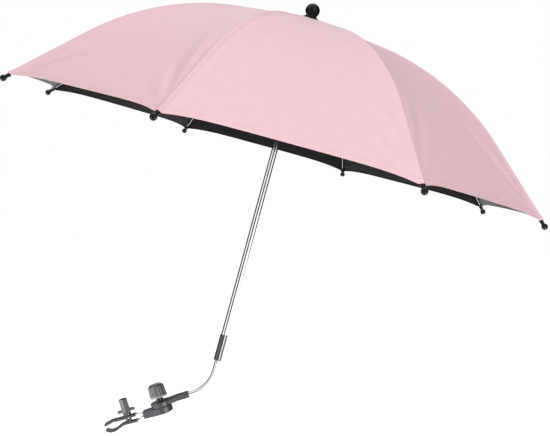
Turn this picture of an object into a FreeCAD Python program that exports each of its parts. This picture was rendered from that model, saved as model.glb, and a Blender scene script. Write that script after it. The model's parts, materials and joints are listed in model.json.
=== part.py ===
"""Pram parasol: an eight-rib canopy on a leaning pole, a bent rod, a swivel and a screw clamp.

Millimetres. The origin is the centre of the pram tube that the clamp grips, with that tube along Y and Z up.
Two local frames carry the pieces. The clamp frame has X along the arms and Z along the swivel bolt. The pole
frame has Z up the pole, and its origin is the centre of the ring of rib tips.
"""
import FreeCAD, Part
import math
import os
from FreeCAD import Placement, Rotation, Vector

# How the parasol stands
POLE_LEAN = 15.3
ARM_RISE = 16.86
RIB_COUNT = 8
FIRST_RIB_ANGLE = -19.5

# Clearances
FIT_GAP = 0.05
RUN_GAP = 0.08
SLIP_GAP = 0.1
FREE_GAP = 0.3
SIDE_GAP = 0.25
SWIVEL_GAP = 0.15

# How far a cutting shape passes the face that it cuts
OVERCUT = 1.0

# Canopy frame, in the pole frame
TIP_RING_RADIUS = 370.0
RIB_KNEE_RADIUS = 208.7
CROWN_SLOPE = 9.2
HEM_SLOPE = 43.5
RIB_CROWN_RUN = 95.5
HUB_PIVOT_RADIUS = 9.0
RIB_WIDTH = 3.2
RIB_HEIGHT = 2.8
RIB_WALL = 0.6
RIB_TAB_LENGTH = 7.5
RIB_TAB_THICKNESS = 1.6
RIB_EYE_RADIUS = 1.7
RIB_WIRE_RADIUS = 0.9
RIB_CHANNEL_STOP = 75.0
FOLD_TIP_RADIUS = 13.0

# Stretchers
STRETCHER_REACH = 165.0
STRETCHER_DROP = 4.6
STRETCHER_RADIUS = 1.3
STRETCHER_TAB = 9.0
STRETCHER_TAB_THICKNESS = 1.5
STRETCHER_EYE_RADIUS = 1.9
STRETCHER_PIN_RADIUS = 0.9
EAR_RADIUS = 2.2
EAR_THICKNESS = 0.6
RUNNER_END_GAP = 1.8

# Rib tips
TIP_BALL_RADIUS = 4.0
TIP_NECK_RADIUS = 2.3
TIP_CUP_RADIUS = 2.9
TIP_NECK_LENGTH = 9.0
TIP_CUP_LENGTH = 2.0
TIP_TAIL_RADIUS = 1.6
TIP_TAIL_LENGTH = 5.0
TIP_BORE_STOP = 1.5
TIP_LUG_RADIUS = 0.8
TIP_LUG_SPAN = 7.6

# Cloth
CLOTH_THICKNESS = 0.6
HEM_SCALLOP = 8.5
CLOTH_TOP_RADIUS = 9.6

# Pole, hub and finial
POLE_RADIUS = 4.25
POLE_WALL = 0.8
POLE_INSERT = 17.0
POLE_TOP = 10.0
NOTCH_RADIUS = 11.2
NOTCH_CORE_RADIUS = 6.9
NOTCH_BELOW = 4.0
NOTCH_ABOVE = 1.2
HUB_SLOT_WIDTH = 2.1
HUB_WIRE_RADIUS = 0.6
FINIAL_BALL_RADIUS = 9.8
FINIAL_BALL_HEIGHT = 11.6
FINIAL_SKIRT_RADIUS = 10.8
FINIAL_SKIRT_LIP = 2.0
FINIAL_NECK_RADIUS = 7.4
FINIAL_NECK_HEIGHT = 5.2
FINIAL_SKIRT_FLARE = 0.3
FINIAL_PETALS = 8
FINIAL_PETAL_DEPTH = 1.1

# Runner and catch
RUNNER_CROWN_RADIUS = 12.5
RUNNER_CROWN_HEIGHT = 8.0
RUNNER_CORE_RADIUS = 6.9
RUNNER_WIRE_RING = 8.0
RUNNER_GRIP_RADIUS = 7.3
RUNNER_GRIP_DROP = 21.0
RUNNER_GRIP_HEIGHT = 5.0
RUNNER_GRIP_ROUND = 1.6
CATCH_LENGTH = 8.0
CATCH_RAMP = 6.0
CATCH_WIDTH = 2.4
CATCH_PROUD = 1.4
CATCH_BELOW = 1.2
CATCH_LEAF_LENGTH = 34.0
CATCH_LEAF_THICKNESS = 0.5
CATCH_ANGLE = 180.0
KEYWAY_DEPTH = 1.7
KEYWAY_WIDTH = 3.4

# Sleeve and bent rod
RING_TO_SLEEVE = 259.0
SLEEVE_LENGTH = 37.0
SLEEVE_RADIUS = 5.25
SLEEVE_ROUND = 0.8
ROD_RADIUS = 3.25
ROD_INSERT = 16.0
ROD_BEND_RADIUS = 45.0
ROD_UPPER_RUN = 39.8
ROD_LOWER_RUN = 30.4

# Swivel, in the clamp frame
GRIP_BEHIND_SWIVEL = 69.0
GRIP_BELOW_SWIVEL = 6.3
EYE_RADIUS = 14.0
ARM_THICKNESS = 9.0
ARM_TAIL = 27.2
ARM_TAIL_WIDTH = 16.0
ARM_TAIL_ROOT_ANGLE = 110.0
ARM_ROUND = 2.5
EYE_CHAMFER = 0.8
EYE_THICKNESS = 7.0
SOCKET_RADIUS = 4.9
SOCKET_HEIGHT = 5.1
SOCKET_START = 24.0
SOCKET_END = 41.0
NECK_START = 7.0
NECK_WIDTH = 20.0
NECK_TOP = 6.6
NECK_SQUARENESS = 0.85
BOLT_RADIUS = 3.0
BOLT_BELOW = 8.6
BOLT_IN_KNOB = 14.0
BOLT_PITCH = 1.0
SWIVEL_TURNS = 2.0
NUT_FLATS = 10.0
NUT_HEIGHT = 5.0
COLLAR_RADIUS = 4.9
COLLAR_STEP_RADIUS = 4.2
COLLAR_HEIGHT = 6.3
COLLAR_STEP = 2.4
KNOB_RADIUS = 11.8
KNOB_TOP_RADIUS = 10.8
KNOB_HEIGHT = 18.4
KNOB_DOME = 5.5
KNOB_RING_RADIUS = 12.1
KNOB_RING_HEIGHT = 2.8
KNOB_RING_WALL = 2.6
KNOB_RING_CHAMFER = 0.55
KNOB_FLUTES = 13
KNOB_FLUTE_RADIUS = 2.6
KNOB_FLUTE_DEPTH = 0.9

# Clamp jaws, in the clamp frame
BAR_RADIUS = 5.0
JAW_WIDTH = 10.5
JAW_ROUND = 0.8
UPPER_JAW_THICKNESS = 3.4
LOWER_JAW_THICKNESS = 3.2
STRIP_WIDTH = 8.0
STRIP_THICKNESS = 1.2
STRIP_IN_JAW = 7.0
BEAD_RADIUS = 1.6
BEAD_X = -22.4
BEAD_Z = -3.1
LOWER_STRIP_Z = -6.7
LOWER_STRIP_ROOT = -14.0
JAW_RIVET_RADIUS = 1.1
JAW_OPEN_ANGLE = 8.0
SCREW_X = -49.2
SCREW_RADIUS = 2.5
SCREW_IN_KNOB = 12.0
SCREW_PITCH = 1.0
SCREW_SLOT_SPARE = 1.7
SCREW_SLOT_SHIFT = 0.5
BUSH_RADIUS = 4.0
BUSH_PROUD = 3.4
JAW_COLLAR_RADIUS = 5.4
JAW_COLLAR_HEIGHT = 5.1
JAW_COLLAR_CHAMFER = 0.4
WING_BAR_RADIUS = 2.2
WING_SPAN = 25.0
WING_HUB_RADIUS = 5.8
WING_POST_HEIGHT = 19.0
WING_POST_WIDTH = 11.0
WING_POST_TAPER = 0.6
WING_POST_SIDES = 6
WING_POST_TURN = 38.0

# Jaw centrelines, from the strip to the tip, as (along the arm, up the bolt), and the bends between the runs
UPPER_JAW_LINE = [(-37.8, -0.8), (-56.0, -0.8), (-71.5, -0.2), (-81.8, -2.6)]
UPPER_JAW_BENDS = [40.0, 8.0]
LOWER_JAW_LINE = [(-37.2, -9.3), (-57.5, -8.5), (-70.8, -13.35), (-77.0, -13.3), (-82.2, -10.2)]
LOWER_JAW_BENDS = [12.0, 7.0, 6.0]
STRIP_BENDS = [4.0, 4.0]
LOWER_STRIP_KNEE = -30.2
STRIP_LEAD = 3.0

# Values that follow from the sizes above
UP = Vector(0, 0, 1)
ALONG = Vector(1, 0, 0)
ACROSS = Vector(0, 1, 0)
HALF_GORE = 180.0 / RIB_COUNT
CROWN_TAN = math.tan(math.radians(CROWN_SLOPE))
HEM_TAN = math.tan(math.radians(HEM_SLOPE))
HEM_SINE = math.sin(math.radians(HEM_SLOPE))
HEM_COSINE = math.cos(math.radians(HEM_SLOPE))
KNEE_HEIGHT = (TIP_RING_RADIUS - RIB_KNEE_RADIUS) * HEM_TAN
HUB_HEIGHT = KNEE_HEIGHT + (RIB_KNEE_RADIUS - HUB_PIVOT_RADIUS) * CROWN_TAN
HUB_PIVOT = (HUB_PIVOT_RADIUS, HUB_HEIGHT)
RIB_KNEE = (RIB_KNEE_RADIUS, KNEE_HEIGHT)
RIB_TIP = (TIP_RING_RADIUS, 0.0)
RIB_LINE = [HUB_PIVOT, RIB_KNEE, RIB_TIP]
CROWN_LENGTH = (RIB_KNEE_RADIUS - HUB_PIVOT_RADIUS) / math.cos(math.radians(CROWN_SLOPE))
BEND_TANGENT = CROWN_LENGTH - RIB_CROWN_RUN
RIB_BEND_RADIUS = BEND_TANGENT / math.tan(math.radians(HEM_SLOPE - CROWN_SLOPE) / 2)
RIB_TOP = RIB_HEIGHT / 2
GORE_TAN = math.tan(math.radians(HALF_GORE))
CLOTH_LIFT = FREE_GAP + RIB_WIDTH / 2 * GORE_TAN * HEM_SINE
HEM_FOOT = TIP_RING_RADIUS - (TIP_NECK_LENGTH + FREE_GAP) * HEM_COSINE
HEM_RADIUS = HEM_FOOT + (RIB_TOP + CLOTH_LIFT) * HEM_SINE
RUNNER_SLOT_WIDTH = 2 * (STRETCHER_RADIUS + FREE_GAP)


def turned(point, angle):
    """The clamp or pole frame point (x, z), turned about Y so that a positive angle tips Z towards X."""
    c = math.cos(math.radians(angle))
    s = math.sin(math.radians(angle))
    return (point[0] * c + point[1] * s, -point[0] * s + point[1] * c)


def rib_height(radius, offset=0.0):
    """Height of the rib's centreline at a radius, or of the line that far above it."""
    crown = math.radians(CROWN_SLOPE)
    hem = math.radians(HEM_SLOPE)
    start = (RIB_KNEE[0] - BEND_TANGENT * math.cos(crown), RIB_KNEE[1] + BEND_TANGENT * math.sin(crown))
    centre = (start[0] - RIB_BEND_RADIUS * math.sin(crown), start[1] - RIB_BEND_RADIUS * math.cos(crown))
    reach = RIB_BEND_RADIUS + offset
    if radius < centre[0] + reach * math.sin(crown):
        return centre[1] + (reach - (radius - centre[0]) * math.sin(crown)) / math.cos(crown)
    if radius > centre[0] + reach * math.sin(hem):
        return centre[1] + (reach - (radius - centre[0]) * math.sin(hem)) / math.cos(hem)
    return centre[1] + math.sqrt(reach ** 2 - (radius - centre[0]) ** 2)


# The folding linkage: equal arms from the hub and from the runner to the pivot on the rib
RIB_PIVOT = (STRETCHER_REACH, rib_height(STRETCHER_REACH, RIB_TOP) - STRETCHER_DROP)
STRETCHER_LENGTH = math.hypot(RIB_PIVOT[0] - HUB_PIVOT[0], RIB_PIVOT[1] - HUB_PIVOT[1])
OPEN_ANGLE = math.degrees(math.asin((HUB_HEIGHT - RIB_PIVOT[1]) / STRETCHER_LENGTH))
RUNNER_HEIGHT = 2 * RIB_PIVOT[1] - HUB_HEIGHT
RUNNER_PIVOT = (HUB_PIVOT_RADIUS, RUNNER_HEIGHT)
TIP_DISTANCE = math.hypot(TIP_RING_RADIUS - HUB_PIVOT_RADIUS, HUB_HEIGHT)
TIP_ANGLE = math.degrees(math.atan2(HUB_HEIGHT, TIP_RING_RADIUS - HUB_PIVOT_RADIUS))
FOLD_ANGLE = math.degrees(math.acos((FOLD_TIP_RADIUS - HUB_PIVOT_RADIUS) / TIP_DISTANCE)) - TIP_ANGLE
FOLDED_SINE = math.sin(math.radians(OPEN_ANGLE + FOLD_ANGLE))
RUNNER_TRAVEL = 2 * STRETCHER_LENGTH * (FOLDED_SINE - math.sin(math.radians(OPEN_ANGLE)))

# The clamp's heights and travels
UPPER_JAW_TOP = UPPER_JAW_LINE[0][1] + UPPER_JAW_THICKNESS / 2
LOWER_JAW_AT_SCREW = LOWER_JAW_LINE[1][1]
JAW_COLLAR_Z = UPPER_JAW_TOP + FIT_GAP
WING_Z = JAW_COLLAR_Z + JAW_COLLAR_HEIGHT + FIT_GAP
SCREW_BOTTOM = LOWER_JAW_AT_SCREW - LOWER_JAW_THICKNESS / 2
JAW_LEVER = BEAD_X - SCREW_X + JAW_COLLAR_RADIUS + FREE_GAP
JAW_COLLAR_LIFT = JAW_LEVER * math.radians(JAW_OPEN_ANGLE)
EYE_Z = SWIVEL_GAP
COLLAR_Z = EYE_Z + EYE_THICKNESS + FIT_GAP
KNOB_Z = COLLAR_Z + COLLAR_HEIGHT + FIT_GAP

# Where the local frames stand in the parasol's own frame
SWIVEL = turned((GRIP_BEHIND_SWIVEL, GRIP_BELOW_SWIVEL), -ARM_RISE)
CLAMP_FRAME = Placement(Vector(SWIVEL[0], 0, SWIVEL[1]), Rotation(ACROSS, -ARM_RISE))
MOUTH = turned((SOCKET_END, SOCKET_HEIGHT), -ARM_RISE)
ARM_WAY = turned((1.0, 0.0), -ARM_RISE)
POLE_WAY = turned((0.0, 1.0), POLE_LEAN)
ROD_MOUTH = (SWIVEL[0] + MOUTH[0], SWIVEL[1] + MOUTH[1])
ROD_CORNER = (ROD_MOUTH[0] + ROD_LOWER_RUN * ARM_WAY[0], ROD_MOUTH[1] + ROD_LOWER_RUN * ARM_WAY[1])
RING_RUN = ROD_UPPER_RUN + SLEEVE_LENGTH + RING_TO_SLEEVE
RING_CENTRE = (ROD_CORNER[0] + RING_RUN * POLE_WAY[0], ROD_CORNER[1] + RING_RUN * POLE_WAY[1])
POLE_FRAME = Placement(Vector(RING_CENTRE[0], 0, RING_CENTRE[1]), Rotation(ACROSS, POLE_LEAN))


def rib_angle(number):
    """Azimuth of a rib in the pole frame, from 1."""
    return FIRST_RIB_ANGLE - (number - 1) * 360.0 / RIB_COUNT


def rib_frame(number):
    """The rib's own upright plane, X outwards, in the parasol's frame."""
    return POLE_FRAME.multiply(Placement(Vector(), Rotation(UP, rib_angle(number))))


def placed(shape, frame):
    copy = shape.copy()
    copy.Placement = frame.multiply(copy.Placement)
    return copy


def flat(point, y=0.0):
    return Vector(point[0], y, point[1])


def cylinder(radius, start, way, length):
    return Part.makeCylinder(radius, length, start, way)


def revolved(outline):
    """Solid of revolution about Z from (radius, height) points."""
    wire = Part.makePolygon([flat(p) for p in outline + outline[:1]])
    return Part.Face(wire).revolve(Vector(), UP, 360)


def side_edges(points, bends, offset):
    """Line and arc edges that run beside a bent line, offset to its left."""
    ways = []
    for a, b in zip(points, points[1:]):
        length = math.hypot(b[0] - a[0], b[1] - a[1])
        ways.append(((b[0] - a[0]) / length, (b[1] - a[1]) / length))

    def beside(point, way):
        return (point[0] - way[1] * offset, point[1] + way[0] * offset)

    edges = []
    here = beside(points[0], ways[0])
    for corner, before, after, bend in zip(points[1:-1], ways, ways[1:], bends):
        cross = before[0] * after[1] - before[1] * after[0]
        turn = math.atan2(cross, before[0] * after[0] + before[1] * after[1])
        tangent = bend * math.tan(abs(turn) / 2)
        entry = (corner[0] - before[0] * tangent, corner[1] - before[1] * tangent)
        leave = (corner[0] + after[0] * tangent, corner[1] + after[1] * tangent)
        side = math.copysign(1.0, turn)
        centre = (entry[0] - side * before[1] * bend, entry[1] + side * before[0] * bend)
        reach = bend - side * offset
        out = (corner[0] - centre[0], corner[1] - centre[1])
        scale = reach / math.hypot(*out)
        middle = (centre[0] + out[0] * scale, centre[1] + out[1] * scale)
        first = beside(entry, before)
        last = beside(leave, after)
        edges.append(Part.LineSegment(flat(here), flat(first)).toShape())
        edges.append(Part.Arc(flat(first), flat(middle), flat(last)).toShape())
        here = last
    edges.append(Part.LineSegment(flat(here), flat(beside(points[-1], ways[-1]))).toShape())
    return edges


def band_face(points, bends, low, high):
    """Flat band in the XZ plane between two offsets of one bent line."""
    lower = side_edges(points, bends, low)
    upper = side_edges(points, bends, high)
    start = Part.LineSegment(lower[0].firstVertex().Point, upper[0].firstVertex().Point).toShape()
    end = Part.LineSegment(lower[-1].lastVertex().Point, upper[-1].lastVertex().Point).toShape()
    return Part.Face(Part.Wire(Part.__sortEdges__(lower + upper + [start, end])))


def band(points, bends, low, high, width):
    """The band, as wide as given, centred on the XZ plane."""
    face = band_face(points, bends, low, high)
    face.translate(ACROSS * (-width / 2))
    return face.extrude(ACROSS * width)


def towards(start, end, distance):
    """The point at a distance from start on the way to end."""
    length = math.hypot(end[0] - start[0], end[1] - start[1])
    share = distance / length
    return (start[0] + (end[0] - start[0]) * share, start[1] + (end[1] - start[1]) * share)


def spun(shape, count, first=0.0):
    """Copies of a shape around Z."""
    return [shape.rotated(Vector(), UP, first + 360.0 * i / count) for i in range(count)]


def cross_pin(point, radius, width):
    """Cylinder along Y, centred on the XZ plane."""
    return cylinder(radius, flat(point, -width / 2), ACROSS, width)


def rounded(shape, radius, wanted):
    """The shape with a fillet on each edge that the test picks."""
    return shape.makeFillet(radius, [e for e in shape.Edges if wanted(e)])


# Canopy frame

def rib():
    """Sprung channel, open below, with a tab and eye at the hub, ears at the stretcher and a wire end."""
    channel_start = towards(HUB_PIVOT, RIB_KNEE, RIB_TAB_LENGTH)
    channel_end = towards(RIB_TIP, RIB_KNEE, RIB_CHANNEL_STOP)
    line = [channel_start, RIB_KNEE, channel_end]
    channel = band(line, [RIB_BEND_RADIUS], -RIB_TOP, RIB_TOP, RIB_WIDTH)
    hollow_start = towards(HUB_PIVOT, RIB_KNEE, RIB_TAB_LENGTH - OVERCUT)
    hollow_end = towards(RIB_TIP, RIB_KNEE, RIB_CHANNEL_STOP + RIB_WALL)
    hollow_line = [hollow_start, RIB_KNEE, hollow_end]
    channel = channel.cut(band(hollow_line, [RIB_BEND_RADIUS], -RIB_HEIGHT, RIB_TOP - RIB_WALL,
                               RIB_WIDTH - 2 * RIB_WALL))
    tab_end = towards(HUB_PIVOT, RIB_KNEE, 2 * RIB_TAB_LENGTH)
    tab = band([HUB_PIVOT, tab_end], [], -RIB_TOP + FIT_GAP, RIB_TOP - FIT_GAP, RIB_TAB_THICKNESS)
    eye = cross_pin(HUB_PIVOT, RIB_EYE_RADIUS, RIB_TAB_THICKNESS)
    wire_start = towards(RIB_TIP, RIB_KNEE, RIB_CHANNEL_STOP + 3 * RIB_WIRE_RADIUS)
    wire_end = towards(RIB_TIP, RIB_KNEE, TIP_BORE_STOP + FIT_GAP)
    way = flat(wire_end) - flat(wire_start)
    wire = cylinder(RIB_WIRE_RADIUS, flat(wire_start), way, way.Length)
    body = channel.fuse([tab, eye, wire, *rib_ears()])
    return body.cut(cross_pin(HUB_PIVOT, HUB_WIRE_RADIUS + SIDE_GAP, RIB_WIDTH)).removeSplitter()


def rib_ears():
    """Two ears below the rib and the pin between them, for the stretcher."""
    top = (RIB_PIVOT[0], RIB_PIVOT[1] + STRETCHER_DROP - RIB_HEIGHT / 2)
    pieces = [cross_pin(RIB_PIVOT, STRETCHER_PIN_RADIUS, RIB_WIDTH)]
    for side in (-1, 1):
        centre = side * (RIB_WIDTH - EAR_THICKNESS) / 2
        ear = band([RIB_PIVOT, top], [], -EAR_RADIUS, EAR_RADIUS, EAR_THICKNESS)
        ear = ear.fuse(cross_pin(RIB_PIVOT, EAR_RADIUS, EAR_THICKNESS))
        pieces.append(ear.translated(ACROSS * centre))
    return pieces


def rib_tip():
    """Ball with a neck, a cup and a tail that take the rib's wire end, and side lugs for the cloth's corner."""
    inward = flat(towards(RIB_TIP, RIB_KNEE, 1.0)) - flat(RIB_TIP)
    ball = Part.makeSphere(TIP_BALL_RADIUS, flat(RIB_TIP))
    neck = cylinder(TIP_NECK_RADIUS, flat(RIB_TIP), inward, TIP_NECK_LENGTH)
    cup_start = flat(RIB_TIP) + inward * (TIP_NECK_LENGTH - TIP_CUP_LENGTH)
    cup = Part.makeCone(TIP_NECK_RADIUS, TIP_CUP_RADIUS, TIP_CUP_LENGTH, cup_start, inward)
    lug_point = towards(RIB_TIP, RIB_KNEE, TIP_NECK_LENGTH - TIP_CUP_LENGTH / 2)
    lugs = cross_pin(lug_point, TIP_LUG_RADIUS, TIP_LUG_SPAN)
    tail_end = TIP_NECK_LENGTH + TIP_TAIL_LENGTH
    tail = cylinder(TIP_TAIL_RADIUS, flat(RIB_TIP), inward, tail_end)
    bore_start = flat(RIB_TIP) + inward * TIP_BORE_STOP
    bore = cylinder(RIB_WIRE_RADIUS + FIT_GAP, bore_start, inward, tail_end)
    return ball.fuse([neck, cup, tail, lugs]).cut(bore).removeSplitter()


def stretcher():
    """Round wire with a flat tab at each end; the outer tab turns on the rib's pin."""
    inner = towards(RUNNER_PIVOT, RIB_PIVOT, RUNNER_END_GAP)
    tab_line = [inner, RIB_PIVOT]
    wire_start = towards(RUNNER_PIVOT, RIB_PIVOT, STRETCHER_TAB)
    wire_end = towards(RIB_PIVOT, RUNNER_PIVOT, STRETCHER_TAB)
    way = flat(wire_end) - flat(wire_start)
    wire = cylinder(STRETCHER_RADIUS, flat(wire_start), way, way.Length)
    tab = STRETCHER_TAB + STRETCHER_EYE_RADIUS
    inner_tab = band([inner, towards(inner, RIB_PIVOT, tab)], [], -STRETCHER_RADIUS, STRETCHER_RADIUS,
                     STRETCHER_TAB_THICKNESS)
    outer_tab = band([RIB_PIVOT, towards(*reversed(tab_line), tab)], [], -STRETCHER_RADIUS,
                     STRETCHER_RADIUS, STRETCHER_TAB_THICKNESS)
    eye = cross_pin(RIB_PIVOT, STRETCHER_EYE_RADIUS, STRETCHER_TAB_THICKNESS)
    end = cross_pin(inner, STRETCHER_RADIUS, STRETCHER_TAB_THICKNESS)
    body = wire.fuse([inner_tab, outer_tab, eye, end])
    return body.cut(cross_pin(RIB_PIVOT, STRETCHER_PIN_RADIUS + RUN_GAP, RIB_WIDTH)).removeSplitter()


# Cloth

def half_gore():
    """Cloth from one rib's plane to the middle of the next gore, ruled level between the ribs."""
    shrink = math.cos(math.radians(HALF_GORE))
    low = RIB_TOP + CLOTH_LIFT
    beyond = towards(RIB_KNEE, RIB_TIP, TIP_DISTANCE)
    face = band_face([HUB_PIVOT, RIB_KNEE, beyond], [RIB_BEND_RADIUS], low, low + CLOTH_THICKNESS)
    squeeze = FreeCAD.Matrix()
    squeeze.scale(shrink, 1, 1)
    face = face.transformGeometry(squeeze)
    face.translate(ACROSS * (FREE_GAP / 2))
    width = TIP_RING_RADIUS
    sheet = face.extrude(ACROSS * width)
    hem_half = HEM_RADIUS * math.sin(math.radians(HALF_GORE))
    hem_curve = (hem_half ** 2 + HEM_SCALLOP ** 2) / (2 * HEM_SCALLOP)
    hem_middle = HEM_RADIUS * shrink - HEM_SCALLOP
    floor = -TIP_RING_RADIUS
    reach = 2 * TIP_RING_RADIUS
    wedge_side = width * GORE_TAN
    wedge = Part.Face(Part.makePolygon([
        Vector(0, 0, floor), Vector(width, 0, floor), Vector(width, wedge_side, floor), Vector(0, 0, floor)]))
    wedge = wedge.extrude(UP * reach)
    inner = Part.makeCylinder(CLOTH_TOP_RADIUS, reach, Vector(0, 0, floor))
    outer = Part.makeCylinder(hem_curve, reach, Vector(hem_middle + hem_curve, 0, floor))
    return sheet.common(wedge).cut(inner).cut(outer)


def canopy_segment():
    """The cloth that one rib carries: half of the gore on each side, mitred over the rib."""
    left = half_gore().rotated(Vector(), UP, -HALF_GORE)
    right = left.mirror(Vector(), ACROSS)
    return left.fuse(right).removeSplitter()


# Pole, hub, finial, runner and catch

def castle(core, rim, low, high, slot, slot_from, wire):
    """Hub with radial slots for the rib or stretcher ends and a groove for the wire ring."""
    ring_radius, ring_height = wire
    body = Part.makeCylinder(rim, high - low, Vector(0, 0, low))
    body = body.cut(Part.makeCylinder(core, high - low, Vector(0, 0, low)))
    box = Part.makeBox(rim * 2, slot, high - low, Vector(slot_from, -slot / 2, low))
    body = body.cut(Part.makeCompound(spun(box, RIB_COUNT, FIRST_RIB_ANGLE)))
    ring = HUB_WIRE_RADIUS + FIT_GAP
    low_side = Vector(0, 0, ring_height - ring)
    groove = Part.makeCylinder(rim + OVERCUT, 2 * ring, low_side)
    groove = groove.cut(Part.makeCylinder(ring_radius - ring, 2 * ring, low_side))
    return body.cut(groove).removeSplitter()


def top_notch():
    return castle(POLE_RADIUS + FIT_GAP, NOTCH_RADIUS, HUB_HEIGHT - NOTCH_BELOW, HUB_HEIGHT + NOTCH_ABOVE,
                  HUB_SLOT_WIDTH, NOTCH_CORE_RADIUS, HUB_PIVOT)


def wire_ring(ring_radius, height):
    return Part.makeTorus(ring_radius, HUB_WIRE_RADIUS, Vector(0, 0, height))


def pole_bottom():
    return -RING_TO_SLEEVE - POLE_INSERT


def catch_height():
    """Height of the catch's lower end in the pole frame."""
    return RUNNER_HEIGHT - RUNNER_GRIP_DROP - RUNNER_GRIP_HEIGHT - CATCH_BELOW - CATCH_LENGTH


def pole():
    low = pole_bottom()
    length = HUB_HEIGHT + POLE_TOP - low
    tube = Part.makeCylinder(POLE_RADIUS, length, Vector(0, 0, low))
    tube = tube.cut(Part.makeCylinder(POLE_RADIUS - POLE_WALL, length, Vector(0, 0, low)))
    window = Part.makeBox(POLE_RADIUS, CATCH_WIDTH + 2 * SIDE_GAP, CATCH_LENGTH + 2 * SIDE_GAP)
    window.translate(Vector(POLE_WALL, -CATCH_WIDTH / 2 - SIDE_GAP, catch_height() - SIDE_GAP))
    return tube.cut(window.rotated(Vector(), UP, CATCH_ANGLE))


def catch_spring():
    """Leaf inside the pole with a ramped nose that stands out through the window below the runner."""
    low = catch_height()
    inside = POLE_RADIUS - POLE_WALL - SLIP_GAP
    half = CATCH_WIDTH / 2
    leaf_face = math.sqrt(inside ** 2 - half ** 2)
    proud = POLE_RADIUS + CATCH_PROUD
    nose = [(leaf_face - CATCH_LEAF_THICKNESS, low), (POLE_RADIUS - POLE_WALL / 2, low),
            (proud, low + CATCH_RAMP), (proud, low + CATCH_LENGTH),
            (leaf_face - CATCH_LEAF_THICKNESS, low + CATCH_LENGTH)]
    wire = Part.makePolygon([flat(p, -half) for p in nose + nose[:1]])
    body = Part.Face(wire).extrude(ACROSS * CATCH_WIDTH)
    leaf_corner = Vector(leaf_face - CATCH_LEAF_THICKNESS, -half, low - CATCH_LEAF_LENGTH + CATCH_LENGTH)
    leaf = Part.makeBox(CATCH_LEAF_THICKNESS, CATCH_WIDTH, CATCH_LEAF_LENGTH, leaf_corner)
    return body.fuse(leaf).removeSplitter().rotated(Vector(), UP, CATCH_ANGLE)


def runner():
    """Sleeve with a slotted crown for the stretchers, a grip flange and a keyway that clears the catch."""
    crown_low = RUNNER_HEIGHT - RUNNER_CROWN_HEIGHT / 2
    crown_high = RUNNER_HEIGHT + RUNNER_CROWN_HEIGHT / 2
    bore = POLE_RADIUS + SLIP_GAP
    crown = castle(bore, RUNNER_CROWN_RADIUS, crown_low, crown_high, RUNNER_SLOT_WIDTH,
                   RUNNER_WIRE_RING - HUB_WIRE_RADIUS - FIT_GAP, (RUNNER_WIRE_RING, RUNNER_HEIGHT))
    grip_top = RUNNER_HEIGHT - RUNNER_GRIP_DROP
    grip_low = grip_top - RUNNER_GRIP_HEIGHT
    core = Part.makeCylinder(RUNNER_CORE_RADIUS, crown_high - grip_low, Vector(0, 0, grip_low))
    grip = Part.makeCylinder(RUNNER_GRIP_RADIUS, RUNNER_GRIP_HEIGHT, Vector(0, 0, grip_low))
    grip = grip.makeFillet(RUNNER_GRIP_ROUND, [e for e in grip.Edges if e.Closed])
    bore_cut = Part.makeCylinder(bore, crown_high - grip_low, Vector(0, 0, grip_low))
    keyway = Part.makeBox(POLE_RADIUS + KEYWAY_DEPTH, KEYWAY_WIDTH, crown_high - grip_low,
                          Vector(0, -KEYWAY_WIDTH / 2, grip_low))
    keyway.rotate(Vector(), UP, CATCH_ANGLE)
    return core.fuse([grip, crown]).cut(bore_cut).cut(keyway).removeSplitter()


def finial_seat():
    """Height at which the finial's skirt stands just clear of the cloth."""
    return rib_height(FINIAL_SKIRT_RADIUS, RIB_TOP + CLOTH_LIFT + CLOTH_THICKNESS) + FREE_GAP


def finial():
    """Ball on a flared skirt whose rim is cut into petals."""
    seat = finial_seat()
    ball_height = seat + FINIAL_BALL_HEIGHT
    ball = Part.makeSphere(FINIAL_BALL_RADIUS, Vector(0, 0, ball_height))
    low = Vector(FINIAL_SKIRT_RADIUS, 0, seat)
    lip = Vector(FINIAL_SKIRT_RADIUS, 0, seat + FINIAL_SKIRT_LIP)
    neck = Vector(FINIAL_NECK_RADIUS, 0, seat + FINIAL_NECK_HEIGHT)
    bow = Vector(FINIAL_NECK_RADIUS + FINIAL_SKIRT_FLARE * (FINIAL_SKIRT_RADIUS - FINIAL_NECK_RADIUS), 0,
                 seat + FINIAL_SKIRT_LIP + FINIAL_SKIRT_FLARE * (FINIAL_NECK_HEIGHT - FINIAL_SKIRT_LIP))
    axis_low = Vector(0, 0, seat)
    axis_neck = Vector(0, 0, neck.z)
    outline = [Part.LineSegment(axis_low, low).toShape(), Part.LineSegment(low, lip).toShape(),
               Part.Arc(lip, bow, neck).toShape(), Part.LineSegment(neck, axis_neck).toShape(),
               Part.LineSegment(axis_neck, axis_low).toShape()]
    skirt = Part.Face(Part.Wire(outline)).revolve(Vector(), UP, 360)
    pitch = math.pi * FINIAL_SKIRT_RADIUS / FINIAL_PETALS
    notch_radius = (pitch ** 2 / 4 + FINIAL_PETAL_DEPTH ** 2) / (2 * FINIAL_PETAL_DEPTH)
    bite = Part.makeCylinder(notch_radius, FINIAL_NECK_HEIGHT,
                             Vector(FINIAL_SKIRT_RADIUS - FINIAL_PETAL_DEPTH + notch_radius, 0, seat))
    skirt = skirt.cut(Part.makeCompound(spun(bite, FINIAL_PETALS)))
    bore_depth = HUB_HEIGHT + POLE_TOP + FIT_GAP - seat
    bore = Part.makeCylinder(POLE_RADIUS + FIT_GAP, bore_depth, Vector(0, 0, seat))
    return ball.fuse(skirt).cut(bore).removeSplitter()


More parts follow.
